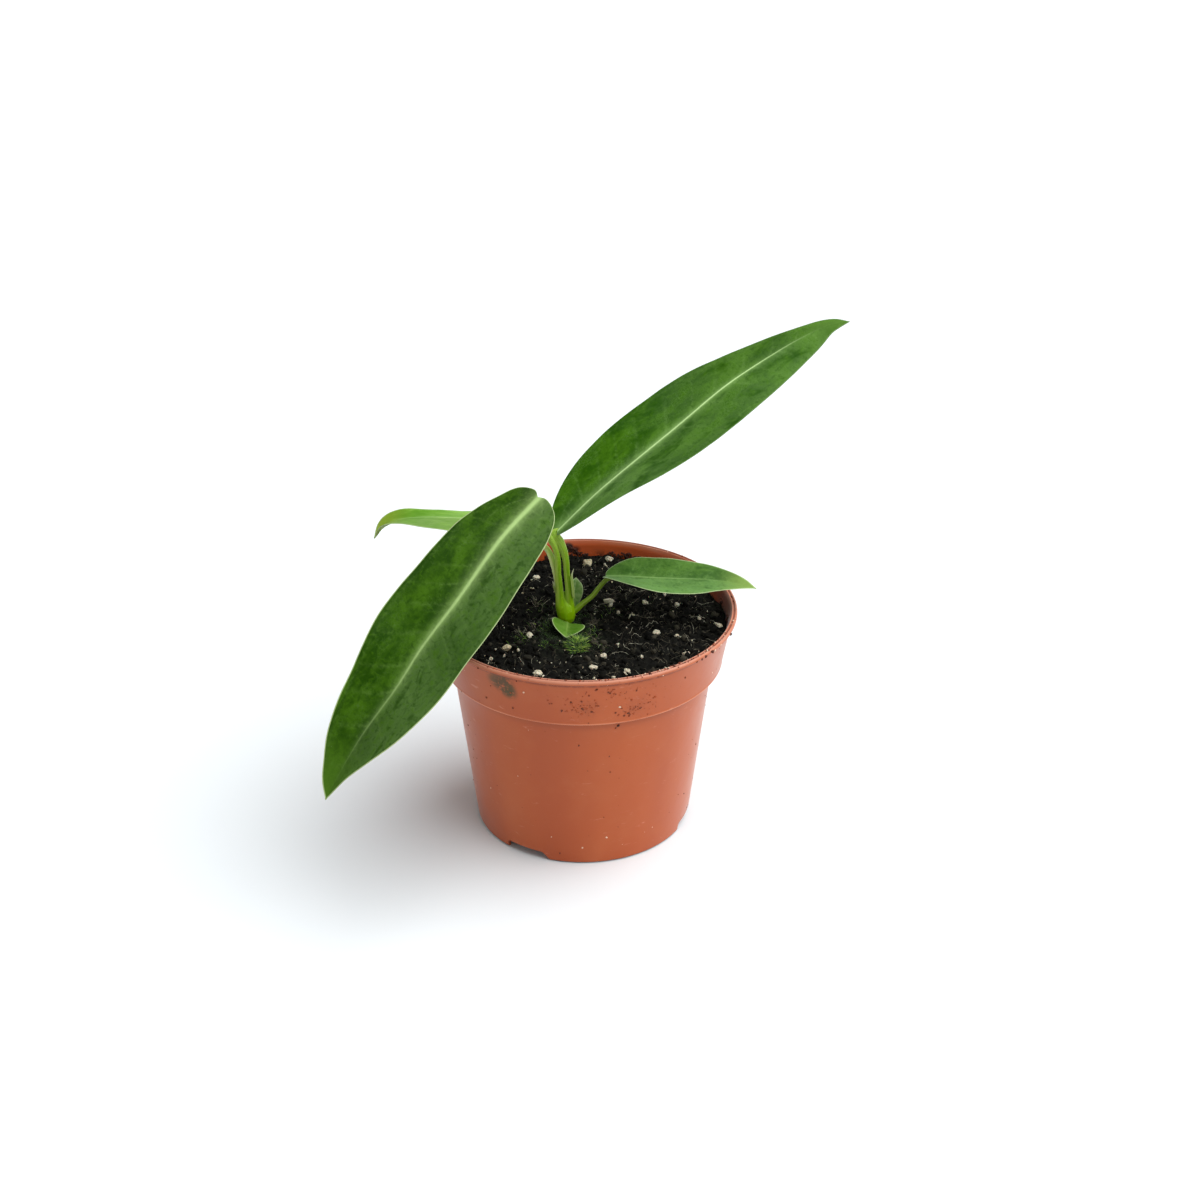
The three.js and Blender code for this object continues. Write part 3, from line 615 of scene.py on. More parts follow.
stalk = stalk_shader("stalk_fresh", (74, 114, 0), (134, 176, 30), (192, 218, 104), 88, 97)
# A paler copy of the stalk for the young leaf's petiole: partly its own paler green, partly painted light
# against the shade it stands in.
lit_pale_stalk = stalk_shader("stalk_pale_painted_lit", (186, 216, 92), (216, 240, 134), (236, 246, 186), 88, 95)
olive = stalk_shader("stalk_olive", (94, 124, 26), (130, 160, 52), (168, 186, 100), 86, 92)

stalk_piece("stem_body", "stem", stalk, 40, 80, ribbed, [
    [-5.9, 2.3, 60, 2.6], [-5.9, 2.3, 75, 2.6], [-6.1, 2.3, 83, 2.75], [-6.2, 2.3, 85.4, 3.5],
    [-6.3, 2.3, 88, 3.5], [-6.6, 2.6, 89.8, 3.1], [-6.9, 3, 91.6, 2.2], [-7.1, 3.3, 93.4, 1.3],
    [-7.2, 3.4, 95, 0.6]])
stalk_piece("stalk_large_left", "petiole_large_left", stalk, 24, 130, grooved(0.14, 1.2), [
    [-8, 2, 86.5, 1.9], [-8.45, 1.6, 90, 2], [-8.75, 1.6, 93.5, 1.65], [-9, 1.7, 98.6, 1.45],
    [-9.3, 1.8, 103.8, 1.2], [-9.5, 1.8, 110.8, 1.15], [-10.5, 1.8, 115.3, 1.15], [-11.9, 1.8, 118.2, 1.2],
    [-13.1, 1.8, 120.6, 1.3], [-14.4, 1.8, 125.2, 1.4], [-15.3, 1.9, 131, 1.5],
    *under_blade("leaf_large_left", (1.5, 1.75, 1.45), (5, 1.5, 0.95), (10, 1.1, 0.5))])
stalk_piece("stalk_large_right", "petiole_large_right", stalk, 28, 120, grooved(0.12, 2.2), [
    [-5.6, 2.4, 86.5, 2], [-5, 2.2, 89.5, 1.95], [-5.1, 2.3, 91.7, 1.7], [-5.2, 2.4, 95.7, 1.45],
    [-5.7, 2.6, 101.3, 1.25], [-6, 2.7, 104.3, 1.2], [-6.35, 2.9, 109.3, 1.3], [-7.2, 3.3, 113.2, 1.5],
    [-8.7, 3.7, 116.7, 1.85], [-10.2, 4.2, 118.6, 1.95], [-10.7, 4.8, 120, 1.3],
    *under_blade("leaf_large_right", (1.2, 1, 1), (4.5, 0.85, 0.8), (9, 0.6, 0.4))])
stalk_piece("stalk_back_left", "petiole_back_left", lit_pale_stalk, 20, 100, grooved(0.16, 1), [
    [-8.2, 3.2, 88, 1.6], [-8.6, 3.6, 92, 1.4], [-9.2, 3.9, 96.1, 1.3], [-9.8, 4, 100.4, 1.25],
    [-10.5, 4, 104.2, 1.2], [-11.4, 4.3, 107.8, 1.2], [-12.3, 5.1, 110.5, 1.2], [-13.5, 6.2, 112.2, 1.15],
    *under_blade("leaf_back_left", (1, 1, 0.95), (4, 0.8, 0.6), (9, 0.5, 0.35))])
stalk_piece("stalk_small_right", "petiole_small_right", olive, 20, 90, grooved(0.12, 0.6), [
    [-5.6, 2.3, 85.6, 1.9], [-4.2, 2.3, 86.9, 1.5], [-2.4, 2.3, 88.2, 1.25], [0.1, 2.6, 90.5, 1.1],
    [4, 3.1, 93.8, 1], [6.4, 3.5, 97, 0.95],
    *under_blade("leaf_small_right", (0.8, 0.95, 0.9), (4, 0.7, 0.5), (9, 0.4, 0.3))])


# The pot: a turned shell with three notches in its foot and drain holes in its floor

HEIGHT = 91.1
RIM = 60
FOOT = 42.8
SLOPE = 0.119
WALL = 1.1
COLLAR = 69.7
COLLAR_LOW = 54.7
COLLAR_HIGH = 58.15
LEDGE = 0.6
LIP_UNDER = HEIGHT - 1.9
LIP_INNER = 57.9
EDGE = 0.5
SKIRT = 1.2
FLOOR_UNDER = 3.8
FLOOR = 1.2
FLOOR_TOP = FLOOR_UNDER + FLOOR
PAD = 22
NOTCHES = (-31.4, 73.2, 201)
HOLES = 8
HOLES_OUT = 32


def body_radius(z):
    return FOOT + SLOPE * z


def collar_radius(z):
    share = (z - COLLAR) / (LIP_UNDER - COLLAR)
    return COLLAR_LOW + share * (COLLAR_HIGH - COLLAR_LOW)


def wall_radius(z):
    return collar_radius(z) - WALL


# The inner wall and floor, from the collar's ledge down.
STEP = COLLAR + LEDGE
INSIDE = [(wall_radius(STEP), STEP + LEDGE), (body_radius(STEP) - WALL, STEP),
          (body_radius(FLOOR_TOP) - WALL, FLOOR_TOP + 1), (body_radius(FLOOR_TOP) - WALL - 1, FLOOR_TOP),
          (PAD - WALL, FLOOR_TOP), (PAD - WALL - EDGE, FLOOR)]


def rounded(points, radius, steps=4):
    """Rounds each inner corner of a profile by up to a radius."""
    points = np.array(points, float)
    result = [points[0]]
    for before, corner, after in zip(points, points[1:], points[2:]):
        reach = min(radius, np.linalg.norm(corner - before) * 0.45, np.linalg.norm(after - corner) * 0.45)
        start = corner + unit(before - corner) * reach
        end = corner + unit(after - corner) * reach
        for s in np.linspace(0, 1, steps):
            result.append((1 - s) ** 2 * start + 2 * s * (1 - s) * corner + s ** 2 * end)
    return np.array([*result, points[-1]])


def pot_shader():
    """Coloured plastic, a little chalky and scuffed, with an algae stain and dried splashes of peat, and
    painted shade and highlights at the collar, lip, inner wall and underside.
    """
    s = Shader("pot_plastic", Sheen_Weight=0.3, Sheen_Roughness=0.3, Specular_IOR_Level=0.35)
    place = s.coordinates()
    clouds = s.noise(place, 45, 5, 0.6)
    fine = s.noise(place, 900, 3, 0.6)
    up = s.node("SeparateXYZ", {0: place}).outputs[2]
    level = s.coordinates("Object", (1, 1, 0))
    radius = s.node("VectorMath", {0: level}, operation="LENGTH").outputs["Value"]

    def past(value, low, high, *ends):
        """A rise between two distances in millimetres."""
        return s.rise(value, low * MM, high * MM, *ends)

    streaks = s.noise(s.coordinates("Object", (1, 1, 0.12)), 26, 3)
    s.base(s.rise(streaks, 0.3, 0.7), (166, 74, 30), (180, 86, 38))
    s.coat(s.rise(clouds, 0.45, 0.75, 0, 0.35), (182, 98, 56))
    s.coat(s.times("inner", 0.7), (206, 88, 40))
    scuffs = s.noise(s.coordinates("Object", (1, 1, 3)), 160, 4, 0.7, 0.4)
    s.coat(s.rise(scuffs, 0.62, 0.74, 0, 0.25), (226, 160, 134))

    # Stains: algae at the front left, smudges of peat at the back, and two faint ones at the front.
    patchy = s.rise(s.noise(place, 420, 4, 0.7), 0.34, 0.52)
    for spot, inner, outer, share, tone in (
            ((-31.7, -47.8, 85.6), 1, 5, 0.9, (100, 66, 26)),
            ((-28.5, -49.5, 84.8), 2, 6.2, 1.1, (84, 56, 20)),
            ((-26.8, -50.4, 81.8), 1, 4.8, 1.1, (78, 58, 18)),
            ((-6.3, 56, 88.4), 1.1, 3, 1.5, (50, 24, 16)),
            ((-3, 56.2, 87.2), 0.6, 2.6, 1, (64, 28, 18)),
            ((3, -56, 78), 0.5, 7, 0.25, (128, 58, 30)),
            ((21, -52, 76.5), 0.5, 7, 0.25, (128, 58, 30))):
        s.coat(s.times(s.near(place, spot, inner, outer), s.times(patchy, share)), tone)

    # Painted shade in a dark line under the collar, and a painted highlight along the collar's lower edge.
    s.coat(s.times(past(up, 64, 68, 0, 0.3), past(up, 69.2, 69.7, 1, 0)), (104, 44, 22))
    painted_edge_highlight = s.times(past(up, 69.2, 69.7), past(up, 70.2, 70.9, 0.5, 0))
    s.coat(s.times(painted_edge_highlight, s.rise(clouds, 0.3, 0.6, 0.4, 1)), (230, 150, 112))

    # Dried peat inside, above the mix, and painted shade over the inner wall on the right.
    ring_share = s.rise("inner", 0.5, 0.9)
    dirt = s.rise(s.noise(place, 240, 5, 0.7), 0.5, 0.66)
    s.coat(s.times(dirt, s.times(ring_share, past(up, 83.5, 89, 1, 0)), clamp=True), (58, 34, 24))
    # Painted shade: a broad darkening of the inner wall on the right.
    s.coat(s.times(s.near(place, (56, 3, 85.5), 6, 34), s.times(ring_share, 0.8)), (70, 42, 34))

    # The lip is painted paler, as a painted reflection, with painted shade in the channel in its top and a
    # painted shaded line below it.
    s.coat(s.times("lip", s.rise(clouds, 0.35, 0.6, 0.3, 0.65)), (214, 158, 134))
    channel = s.times(past(radius, 58.3, 58.6), past(radius, 59, 59.3, 1, 0))
    s.coat(s.times(past(up, 90.2, 90.6), s.times(channel, 0.75)), (122, 52, 34))
    shade = s.times(past(up, 88.8, 89.3, 1, 0), past(up, 87.2, 88.4))
    shade = s.times(shade, s.rise(patchy, 0, 1, 0.25, 0.7))
    s.coat(s.times(shade, s.rise("inner", 0.1, 0.5, 1, 0)), (104, 44, 26))
    # Painted shade: the underside, the inside of the skirt and the foot's bottom edge are near black.
    s.coat(s.times("under", s.rise(fine, 0.3, 0.6, 0.85, 0.97)), (30, 22, 18))
    relief = s.bump(s.noise(place, 70, 3), 0.1, 0.0012, s.bump(fine, 0.12, 0.0001))
    return s.finish(relief, s.rise(clouds, 0.3, 0.7, 0.3, 0.44))


def cutter(first, last, place, angle, size):
    """A closed prism between two outlines, to be cut away."""
    mesh = bpy.data.meshes.new("cutter")
    mesh.from_pydata([*first, *last], [], capped(2, len(first)))
    tool = bpy.data.objects.new("cutter", mesh)
    tool.location = Vector(place) * MM
    tool.rotation_euler[2] = angle
    tool.scale = Vector(size) * MM
    bpy.context.scene.collection.objects.link(tool)
    return tool


def pot_piece():
    outside = [
        (0, 0), (PAD, 0), (PAD + EDGE, FLOOR_UNDER), (FOOT - EDGE - SKIRT, FLOOR_UNDER),
        (FOOT - EDGE - SKIRT, 0), (FOOT - 1.2, 0), (FOOT - 0.1, 0.4),
        *((body_radius(z), z) for z in (0.8, 1.6, 5, 9, 24, 40, 56, COLLAR - LEDGE)),
        (COLLAR_LOW - EDGE, COLLAR), (COLLAR_LOW + 0.1, COLLAR + 0.3), (COLLAR_LOW + 0.17, COLLAR + 0.75),
        (COLLAR_LOW + 0.13, COLLAR + 1.3), (COLLAR_HIGH, LIP_UNDER), (RIM - EDGE, LIP_UNDER + EDGE / 2),
        (RIM, LIP_UNDER + EDGE), (RIM, HEIGHT - EDGE), (RIM - EDGE, HEIGHT), (RIM - 0.75, HEIGHT),
        (RIM - 1, HEIGHT - 0.3), (RIM - 1.45, HEIGHT - 0.3), (RIM - 1.7, HEIGHT), (LIP_INNER, HEIGHT - 0.1)]
    profile = rounded([*outside, (wall_radius(LIP_UNDER), LIP_UNDER), *INSIDE, (0, FLOOR)], 0.3)
    radius, z = profile.T
    inner = np.arange(len(profile)) >= len(rounded(outside, 0.3))
    # Marks for the material: the inner surface; the underside and the foot's bottom edge, which it paints
    # near black as shade; and the lip, which it paints paler as a reflection.
    under = (radius < FOOT - 1.2) & (z < FLOOR_UNDER + 0.01) | (radius < FOOT) & (z < 0.6)
    lip = (1 - np.minimum(np.abs(z - HEIGHT) / 1.2, 1)) * (radius > 57)
    sides = 288
    counts = np.where(radius > 0, sides, 1)
    verts = np.vstack([ring(*spot, count) for spot, count in zip(profile, counts)])
    marks = {"inner": inner, "lip": lip, "under": under & ~inner}
    faces = turned(len(profile) - 2, sides)
    values = {label: np.repeat(mark, counts) for label, mark in marks.items()}
    shell = make_piece("pot_shell", verts, faces, pot_shader(), "pot", values)

    notch = [(-0.46, -1), (0.64, -1), (0.6, 0.02), (0.52, 0.35), (0.46, 0.7), (0.41, 0.94), (0.36, 1),
             (-0.36, 1), (-0.43, 0.93), (-0.46, 0.7)]
    wide = 2 * FOOT * sin(radians(12.6))
    out = FOOT - 1.5 * SKIRT
    tools = []
    for angle in np.radians(NOTCHES):
        back, front = ([(x, y, z) for x, z in notch] for y in (0.5, -0.5))
        tools.append(cutter(back, front, (out * sin(angle), -out * cos(angle), 0), angle, (wide, 4.8, 3.7)))
    for x, y, z in ring(HOLES_OUT, FLOOR_TOP, HOLES, 0.5):
        tools.append(cutter(ring(1, -0.5, 24), ring(1, 0.5, 24), (x, y, z), 0, (3, 3, 8)))
    for tool in tools:
        cut = shell.modifiers.new("cut", "BOOLEAN")
        cut.operation = "DIFFERENCE"
        cut.solver = "EXACT"
        cut.object = tool
    bpy.context.view_layer.update()
    made = bpy.data.meshes.new_from_object(shell.evaluated_get(bpy.context.evaluated_depsgraph_get()))
    shell.modifiers.clear()
    shell.data = made
    made.set_sharp_from_angle(angle=radians(40))
    for tool in tools:
        bpy.data.objects.remove(tool)


pot_piece()


# The potting mix: a lumpy bed, loose crumbs, fibres and bits of perlite

STEM_FOOT = (-5.9, 2.3)
BARE = (-6, -8)  # the middle of the bare patch under the tiny leaf
MIX_EDGE = 84
FIBRE_REACH = 54.3


def off(x, y, spot):
    return hypot(x - spot[0], y - spot[1])


def mix_height(x, y):
    swell = 0.5 * sin(0.14 * x + 0.6) * cos(0.12 * y - 0.4)
    return 83.8 + 0.015 * y + swell + 0.3 * sin(0.31 * x - 0.27 * y)


def ground(x, y):
    """Height of the bed's surface, lumps and all."""
    p = Vector((x, y, 0))
    lumps = noise.fractal(p * 0.27, 0.9, 2.1, 3)
    crumbs = noise.fractal(p * 0.95 + Vector((7, 3, 1)), 0.7, 2.2, 4) * 0.6
    rim = min(max((hypot(x, y) - 50) / 6, 0), 1)
    bare = exp(-off(x, y, BARE) ** 2 / 90)
    foot = exp(-(off(x, y, STEM_FOOT) / 5.5) ** 2)
    rough = (lumps * (1 - 0.5 * rim) + crumbs) * (1 - 0.85 * bare)
    return mix_height(x, y) + rough - 0.7 * bare + 0.5 * foot


def free_place(rng, reach):
    """A place on the mix, off the stem and the bare patch."""
    while True:
        x, y = rng.uniform(-reach, reach, 2)
        if hypot(x, y) < reach and off(x, y, STEM_FOOT) > 4 and off(x, y, BARE) > 8.5:
            return x, y


def within(x, y, reach):
    """Draws a place in towards the middle until it is within reach."""
    share = min(1, reach / hypot(x, y))
    return x * share, y * share


def soil_shader(name):
    """Dark peat. A value that a mesh doesn't have counts as nothing."""
    s = Shader(name, Roughness=0.92, Specular_IOR_Level=0.12)
    place = s.coordinates()
    clumps = s.noise(place, 300, 5, 0.65)
    fine = s.noise(place, 1500, 4, 0.7)
    s.base(s.rise(clumps, 0.35, 0.7), (5, 5, 4), (27, 27, 22))
    # Painted highlights: fine pale flecks over the peat.
    s.coat(s.rise(fine, 0.58, 0.78, 0, 0.6), (76, 73, 60))
    s.coat(s.times("green", s.rise(clumps, 0.3, 0.6)), (34, 46, 24))
    s.coat(s.rise("tint", 0.75, 1, 0, 0.85), (70, 67, 56))
    return s.finish(s.bump(fine, 0.8, 0.0008))


def bed_piece():
    sides, rings = 400, 104
    verts = [[0, 0, ground(0, 0)]]
    for i in range(1, rings + 1):
        points = ring((wall_radius(MIX_EDGE) - 0.15) * (i / rings) ** 0.92, 0, sides, 0.5 * (i % 2))
        verts.extend([x, y, ground(x, y)] for x, y, _ in points)
    for radius, z in INSIDE:
        verts.extend(ring(radius - GAP, z + GAP * (z <= STEP), sides))
    verts = np.array([*verts, [0, 0, FLOOR + GAP]])
    faces = [[face[0], *face[:0:-1]] for face in turned(rings + len(INSIDE), sides)]
    green = sum(hill(np.linalg.norm(verts[:, :2] - spot, axis=1), reach)
                for spot, reach in ((STEM_FOOT, 9), ((-5, -12), 10)))
    values = {"green": np.minimum(green, 1)}
    make_piece("mix_bed", verts, faces, soil_shader("mix_bed"), "potting_mix", values)


bed_piece()


def crumbs_piece():
    rng = np.random.default_rng(11)
    batch = Batch()
    for _ in range(2300):
        x, y = free_place(rng, 55)
        size = min(0.28 + 0.5 * rng.gamma(1.6, 0.55), 1.7)
        shape = size * rng.uniform(0.55, 1.1, 3)
        z = ground(x, y) + 0.15 * size
        x, y = within(x, y, wall_radius(MIX_EDGE) - 0.4 - size * 1.1)
        batch.add(*lump(rng, (x, y, z), shape, 2 if size > 0.75 else 1, 0.45), rng.uniform())
    batch.piece("mix_crumbs", soil_shader("mix_crumbs"), "potting_mix")


crumbs_piece()


def fibre_shader():
    s = Shader("mix_fibres", Roughness=0.75, Specular_IOR_Level=0.35)
    s.base(s.rise("tint", 0, 0.6), (30, 27, 21), (104, 98, 80))
    s.coat(s.rise("tint", 0.65, 1), (210, 208, 186))
    s.coat(s.rise(s.noise(s.coordinates(), 700, 2), 0.35, 0.7, 0, 0.5), (70, 58, 42))
    return s.finish()


def thread(rng, x, y, length, radius, heading, bend, stand):
    """A fine fibre lying on the mix, or standing up from it."""
    points = []
    parts = 6
    for i in range(parts + 1):
        share = i / parts
        arch = 0.55 * sin(share * pi) * rng.uniform(0.2, 1)
        points.append([x, y, ground(x, y) + 0.25 + arch + stand * share])
        heading += bend * rng.normal() * 0.5 + bend * 0.4
        x, y = within(x + cos(heading) * length / parts, y + sin(heading) * length / parts, FIBRE_REACH)
    return tube(points, [radius, radius, radius * 0.5], 4, 9, round_end=False)[:2]


def fibres_piece():
    rng = np.random.default_rng(12)
    batch = Batch()
    for _ in range(900):
        x, y = free_place(rng, 53)
        if rng.uniform() < 0.35:
            x = abs(x) * 0.9
        length = min(1.2 + rng.gamma(1.8, 1.4), 13)
        batch.add(*thread(rng, x, y, length, rng.uniform(0.035, 0.085), rng.uniform(0, TURN),
                          rng.normal() * 0.3, max(0, rng.normal() * 0.7)), rng.uniform() ** 1.35)
    for spot, number, reach in (((-17.8, 14), 20, 5), ((-12.2, 1), 12, 3.5), ((-19, -4), 12, 3.5),
                                ((-24, -10), 12, 4), ((4, -3), 12, 4), ((5, -13), 10, 3)):
        for _ in range(number):
            x, y = spot + rng.normal(size=2) * 0.8
            batch.add(*thread(rng, x, y, rng.uniform(0.4, 1) * reach, rng.uniform(0.04, 0.075),
                              rng.uniform(0, TURN), rng.normal() * 0.15, rng.uniform(0, 2.6)),
                      rng.uniform(0.45, 0.95))
    batch.piece("mix_fibres", fibre_shader(), "potting_mix")


fibres_piece()


# Perlite

def perlite_shader():
    s = Shader("perlite", Roughness=0.85, Specular_IOR_Level=0.3, Subsurface_Weight=0.1,
               Subsurface_Scale=0.001)
    place = s.coordinates()
    pits = s.cells(place, 1500)
    soot = s.noise(place, 420, 4, 0.7)
    s.base(s.rise(pits, 0.1, 0.5), (140, 130, 102), (214, 208, 184))
    s.coat(s.rise(soot, 0.52, 0.72, 0, 0.7), (134, 118, 84))
    s.coat(s.rise("tint", 0.6, 1, 0, 0.45), (170, 152, 104))
    return s.finish(s.bump(pits, 0.7, 0.0004, s.bump(soot, 0.5, 0.0004)))


# Places and widths of the grains, and then of the smaller bits that show in the mix.
GRAINS = [
    (1.5, 47.3, 4.1), (10.5, 51, 3.3), (10, 16.3, 4.4), (-28.9, -21, 3.8), (-16.2, -39.8, 3.4),
    (4.6, -34.9, 3), (8.3, -26.1, 2.7), (18.9, 3.6, 3.1), (28.4, -9.5, 3.5), (17.2, -39, 3),
    (-20.1, -11.1, 2.7), (24.7, 15.4, 2.7), (37.2, 12.9, 2.7), (39.2, -26.8, 2.7), (52.6, -3.7, 3),
    (-19.1, 35.5, 2.8), (-38, 12, 3.2), (-44, -10, 3),
]
BITS = [
    (8.9, 47.3, 2.1), (-0.1, 40.9, 2), (11.2, 12, 2.4), (13.9, 6.1, 2), (13.3, -18.3, 1.9), (36, -11.9, 1.9),
    (38.6, -12.7, 1.9), (22.6, -28.4, 1.5), (44.5, 6.9, 2), (45.4, 1.1, 1.9), (32.6, 22.7, 2.4),
    (31.6, -36.8, 1.9), (-24.2, -23, 1.9), (-34.2, -28.4, 1.9), (-13.9, -42, 1.8), (-1.4, -36, 1.9),
    (4.6, -44.2, 2.2), (11.8, -44.2, 1.8),
]
white = perlite_shader()


def broken(rng, verts, cuts, share):
    """Flattens a lump against a few random planes, as a broken grain is."""
    for _ in range(cuts):
        face = unit(rng.normal(size=3))
        far = verts @ face
        over = np.maximum(far - far.max() * rng.uniform(share, share + 0.25), 0)
        verts = verts - np.outer(over * 0.92, face)
    return verts


def grain_pieces():
    rng = np.random.default_rng(21)
    for i, (x, y, width) in enumerate(GRAINS):
        r = width / 2
        verts, faces = lump(rng, (0, 0, 0), (r, 0.85 * r, 0.78 * r), 4, 0.3, turn=False)
        pits = rng.normal(size=(7, 3)) * 5
        push = 1 + 0.045 * np.sin(verts / r @ pits.T + rng.uniform(0, 6, 7)).sum(1)
        verts = broken(rng, verts * push[:, None] * 1.06, 9, 0.62) + (x, y, mix_height(x, y) + 0.28 * r)
        tint = {0: 0.95, 3: 0.9}.get(i, rng.uniform(0, 0.6))
        make_piece(f"grain_{i + 1:02d}", verts, faces, white, f"perlite_{i + 1:02d}",
                   {"tint": np.full(len(verts), tint)})


grain_pieces()


def bits_piece():
    rng = np.random.default_rng(22)
    batch = Batch()
    for x, y, width in BITS:
        size = width / 2 * rng.uniform(0.7, 1, 3)
        verts, faces = lump(rng, (0, 0, 0), size, 3, 0.6)
        place = (x, y, ground(x, y) + 0.3 * size[2])
        batch.add(broken(rng, verts, 6, 0.55) + place, faces, rng.uniform(0, 0.5))
    for _ in range(170):
        x, y = free_place(rng, 54)
        size = (0.1 + 0.32 * rng.uniform() ** 2) * rng.uniform(0.6, 1.3, 3)
        batch.add(*lump(rng, (x, y, ground(x, y) + 0.35 + 0.3 * size[2]), size, 2, 0.8), rng.uniform())
    batch.piece("perlite_bits", white, "perlite")


bits_piece()


# Moss: a bright tuft beside the stem's foot and a dark fuzz round it

def moss_shader():
    s = Shader("moss", Roughness=0.8, Sheen_Weight=0.2, Specular_IOR_Level=0.3)
    s.base(s.rise("tint", 0, 0.5), (18, 28, 14), (78, 130, 16))
    s.coat(s.rise("tint", 0.55, 0.95), (194, 226, 96))
    return s.finish(s.bump(s.noise(s.coordinates(), 1800, 3), 0.4, 0.0002))


def leaflet(x, y, z, length, lean, heading, width):
    """A narrow pointed leaflet of three sides."""
    ahead = np.array([cos(heading), sin(heading), 0])
    direction = unit(ahead * lean + (0, 0, 1))
    side = unit(np.cross(direction, [sin(heading + 0.7), -cos(heading + 0.7), 0.3])) * width
    thick = np.cross(direction, side) * 0.45
    base = np.array([x, y, z - 0.2])
    mid = base + direction * length * 0.55
    tip = base + direction * length + (ahead - (0, 0, 0.6)) * length * 0.22
    verts = [base - side, base + side, base + thick, mid - side * 0.8, mid + side * 0.8, mid + thick, tip]
    faces = [[0, 1, 4, 3], [1, 2, 5, 4], [2, 0, 3, 5], [3, 4, 6], [4, 5, 6], [5, 3, 6], [2, 1, 0]]
    return np.array(verts), faces


def moss_piece():
    rng = np.random.default_rng(31)
    batch = Batch()
    middle = (-1.9, -18.4)
    place = (*middle, mix_height(*middle) - 0.2)
    batch.add(*lump(rng, place, (3, 4.4, 1.4), 3, 0.4, turn=False), 0.1)
    shade = np.array([-0.5, -0.5, -0.5, -0.05, -0.05, -0.05, 0.2])

    def add(x, y, z, length, lean, heading, width, tint):
        batch.add(*leaflet(x, y, z, length, lean, heading, width), np.clip(tint, 0, 1))

    for _ in range(520):
        a, r = rng.uniform(0, TURN), sqrt(rng.uniform()) * 1.15
        dx, dy = cos(a) * r * 2.7, sin(a) * r * 4.8
        x, y = middle[0] + dx, middle[1] + dy
        height = mix_height(x, y) + sqrt(max(0, 1 - r * r)) - 0.2
        length = rng.uniform(1.2, 4.4)
        lean = 0.2 + 1.1 * r * rng.uniform(0.4, 1.3)
        width = rng.uniform(0.09, 0.18)
        heading = atan2(dy, dx) + rng.normal() * 0.7
        tint = (0.95 if rng.uniform() < 0.4 else 0.45) + rng.normal() * 0.1 - 0.25 * (dx < -1)
        add(x, y, height, length, lean, heading, width, tint + shade)
    for _ in range(1500):
        a, r = rng.uniform(0, TURN), 3.3 + abs(rng.normal()) * 4.8
        x, y = STEM_FOOT[0] - 1 + cos(a) * r, STEM_FOOT[1] - 5 + sin(a) * r * 1.5
        if off(x, y, STEM_FOOT) < 3.4:
            continue
        longest = 1.1 if off(x, y, BARE) < 7.5 else 3.2
        add(x, y, ground(x, y), rng.uniform(0.5, longest), rng.uniform(0.2, 1.8), rng.uniform(0, TURN),
            rng.uniform(0.04, 0.09), rng.normal(0.11, 0.17) + shade * 0.3)
    for spot, number in (((3.5, -9.5), 60), ((-15.5, -4.5), 80), ((7.5, -20), 50), ((-17.8, 12), 34),
                         ((-23, -14), 80), ((10, 6), 40), ((-13.5, -20), 60)):
        for _ in range(number):
            x, y = spot + rng.normal(size=2) * (1.7, 2.4)
            add(x, y, ground(x, y), rng.uniform(0.8, 3.2), rng.uniform(0.2, 1.6), rng.uniform(0, TURN),
                rng.uniform(0.04, 0.1), rng.normal(0.36, 0.3) + shade)
    batch.piece("moss_leaflets", moss_shader(), "moss", "moss_tuft")


moss_piece()


# Specks and crumbs of peat on the pot

def speck_shader():
    s = Shader("peat_specks", Roughness=0.85)
    s.base(s.rise("tint", 0, 0.6), (60, 26, 12), (164, 76, 38))
    s.coat(s.rise("tint", 0.7, 0.9), (226, 196, 170))
    return s.finish(s.bump(s.noise(s.coordinates(), 2500, 3), 0.5, 0.0003))


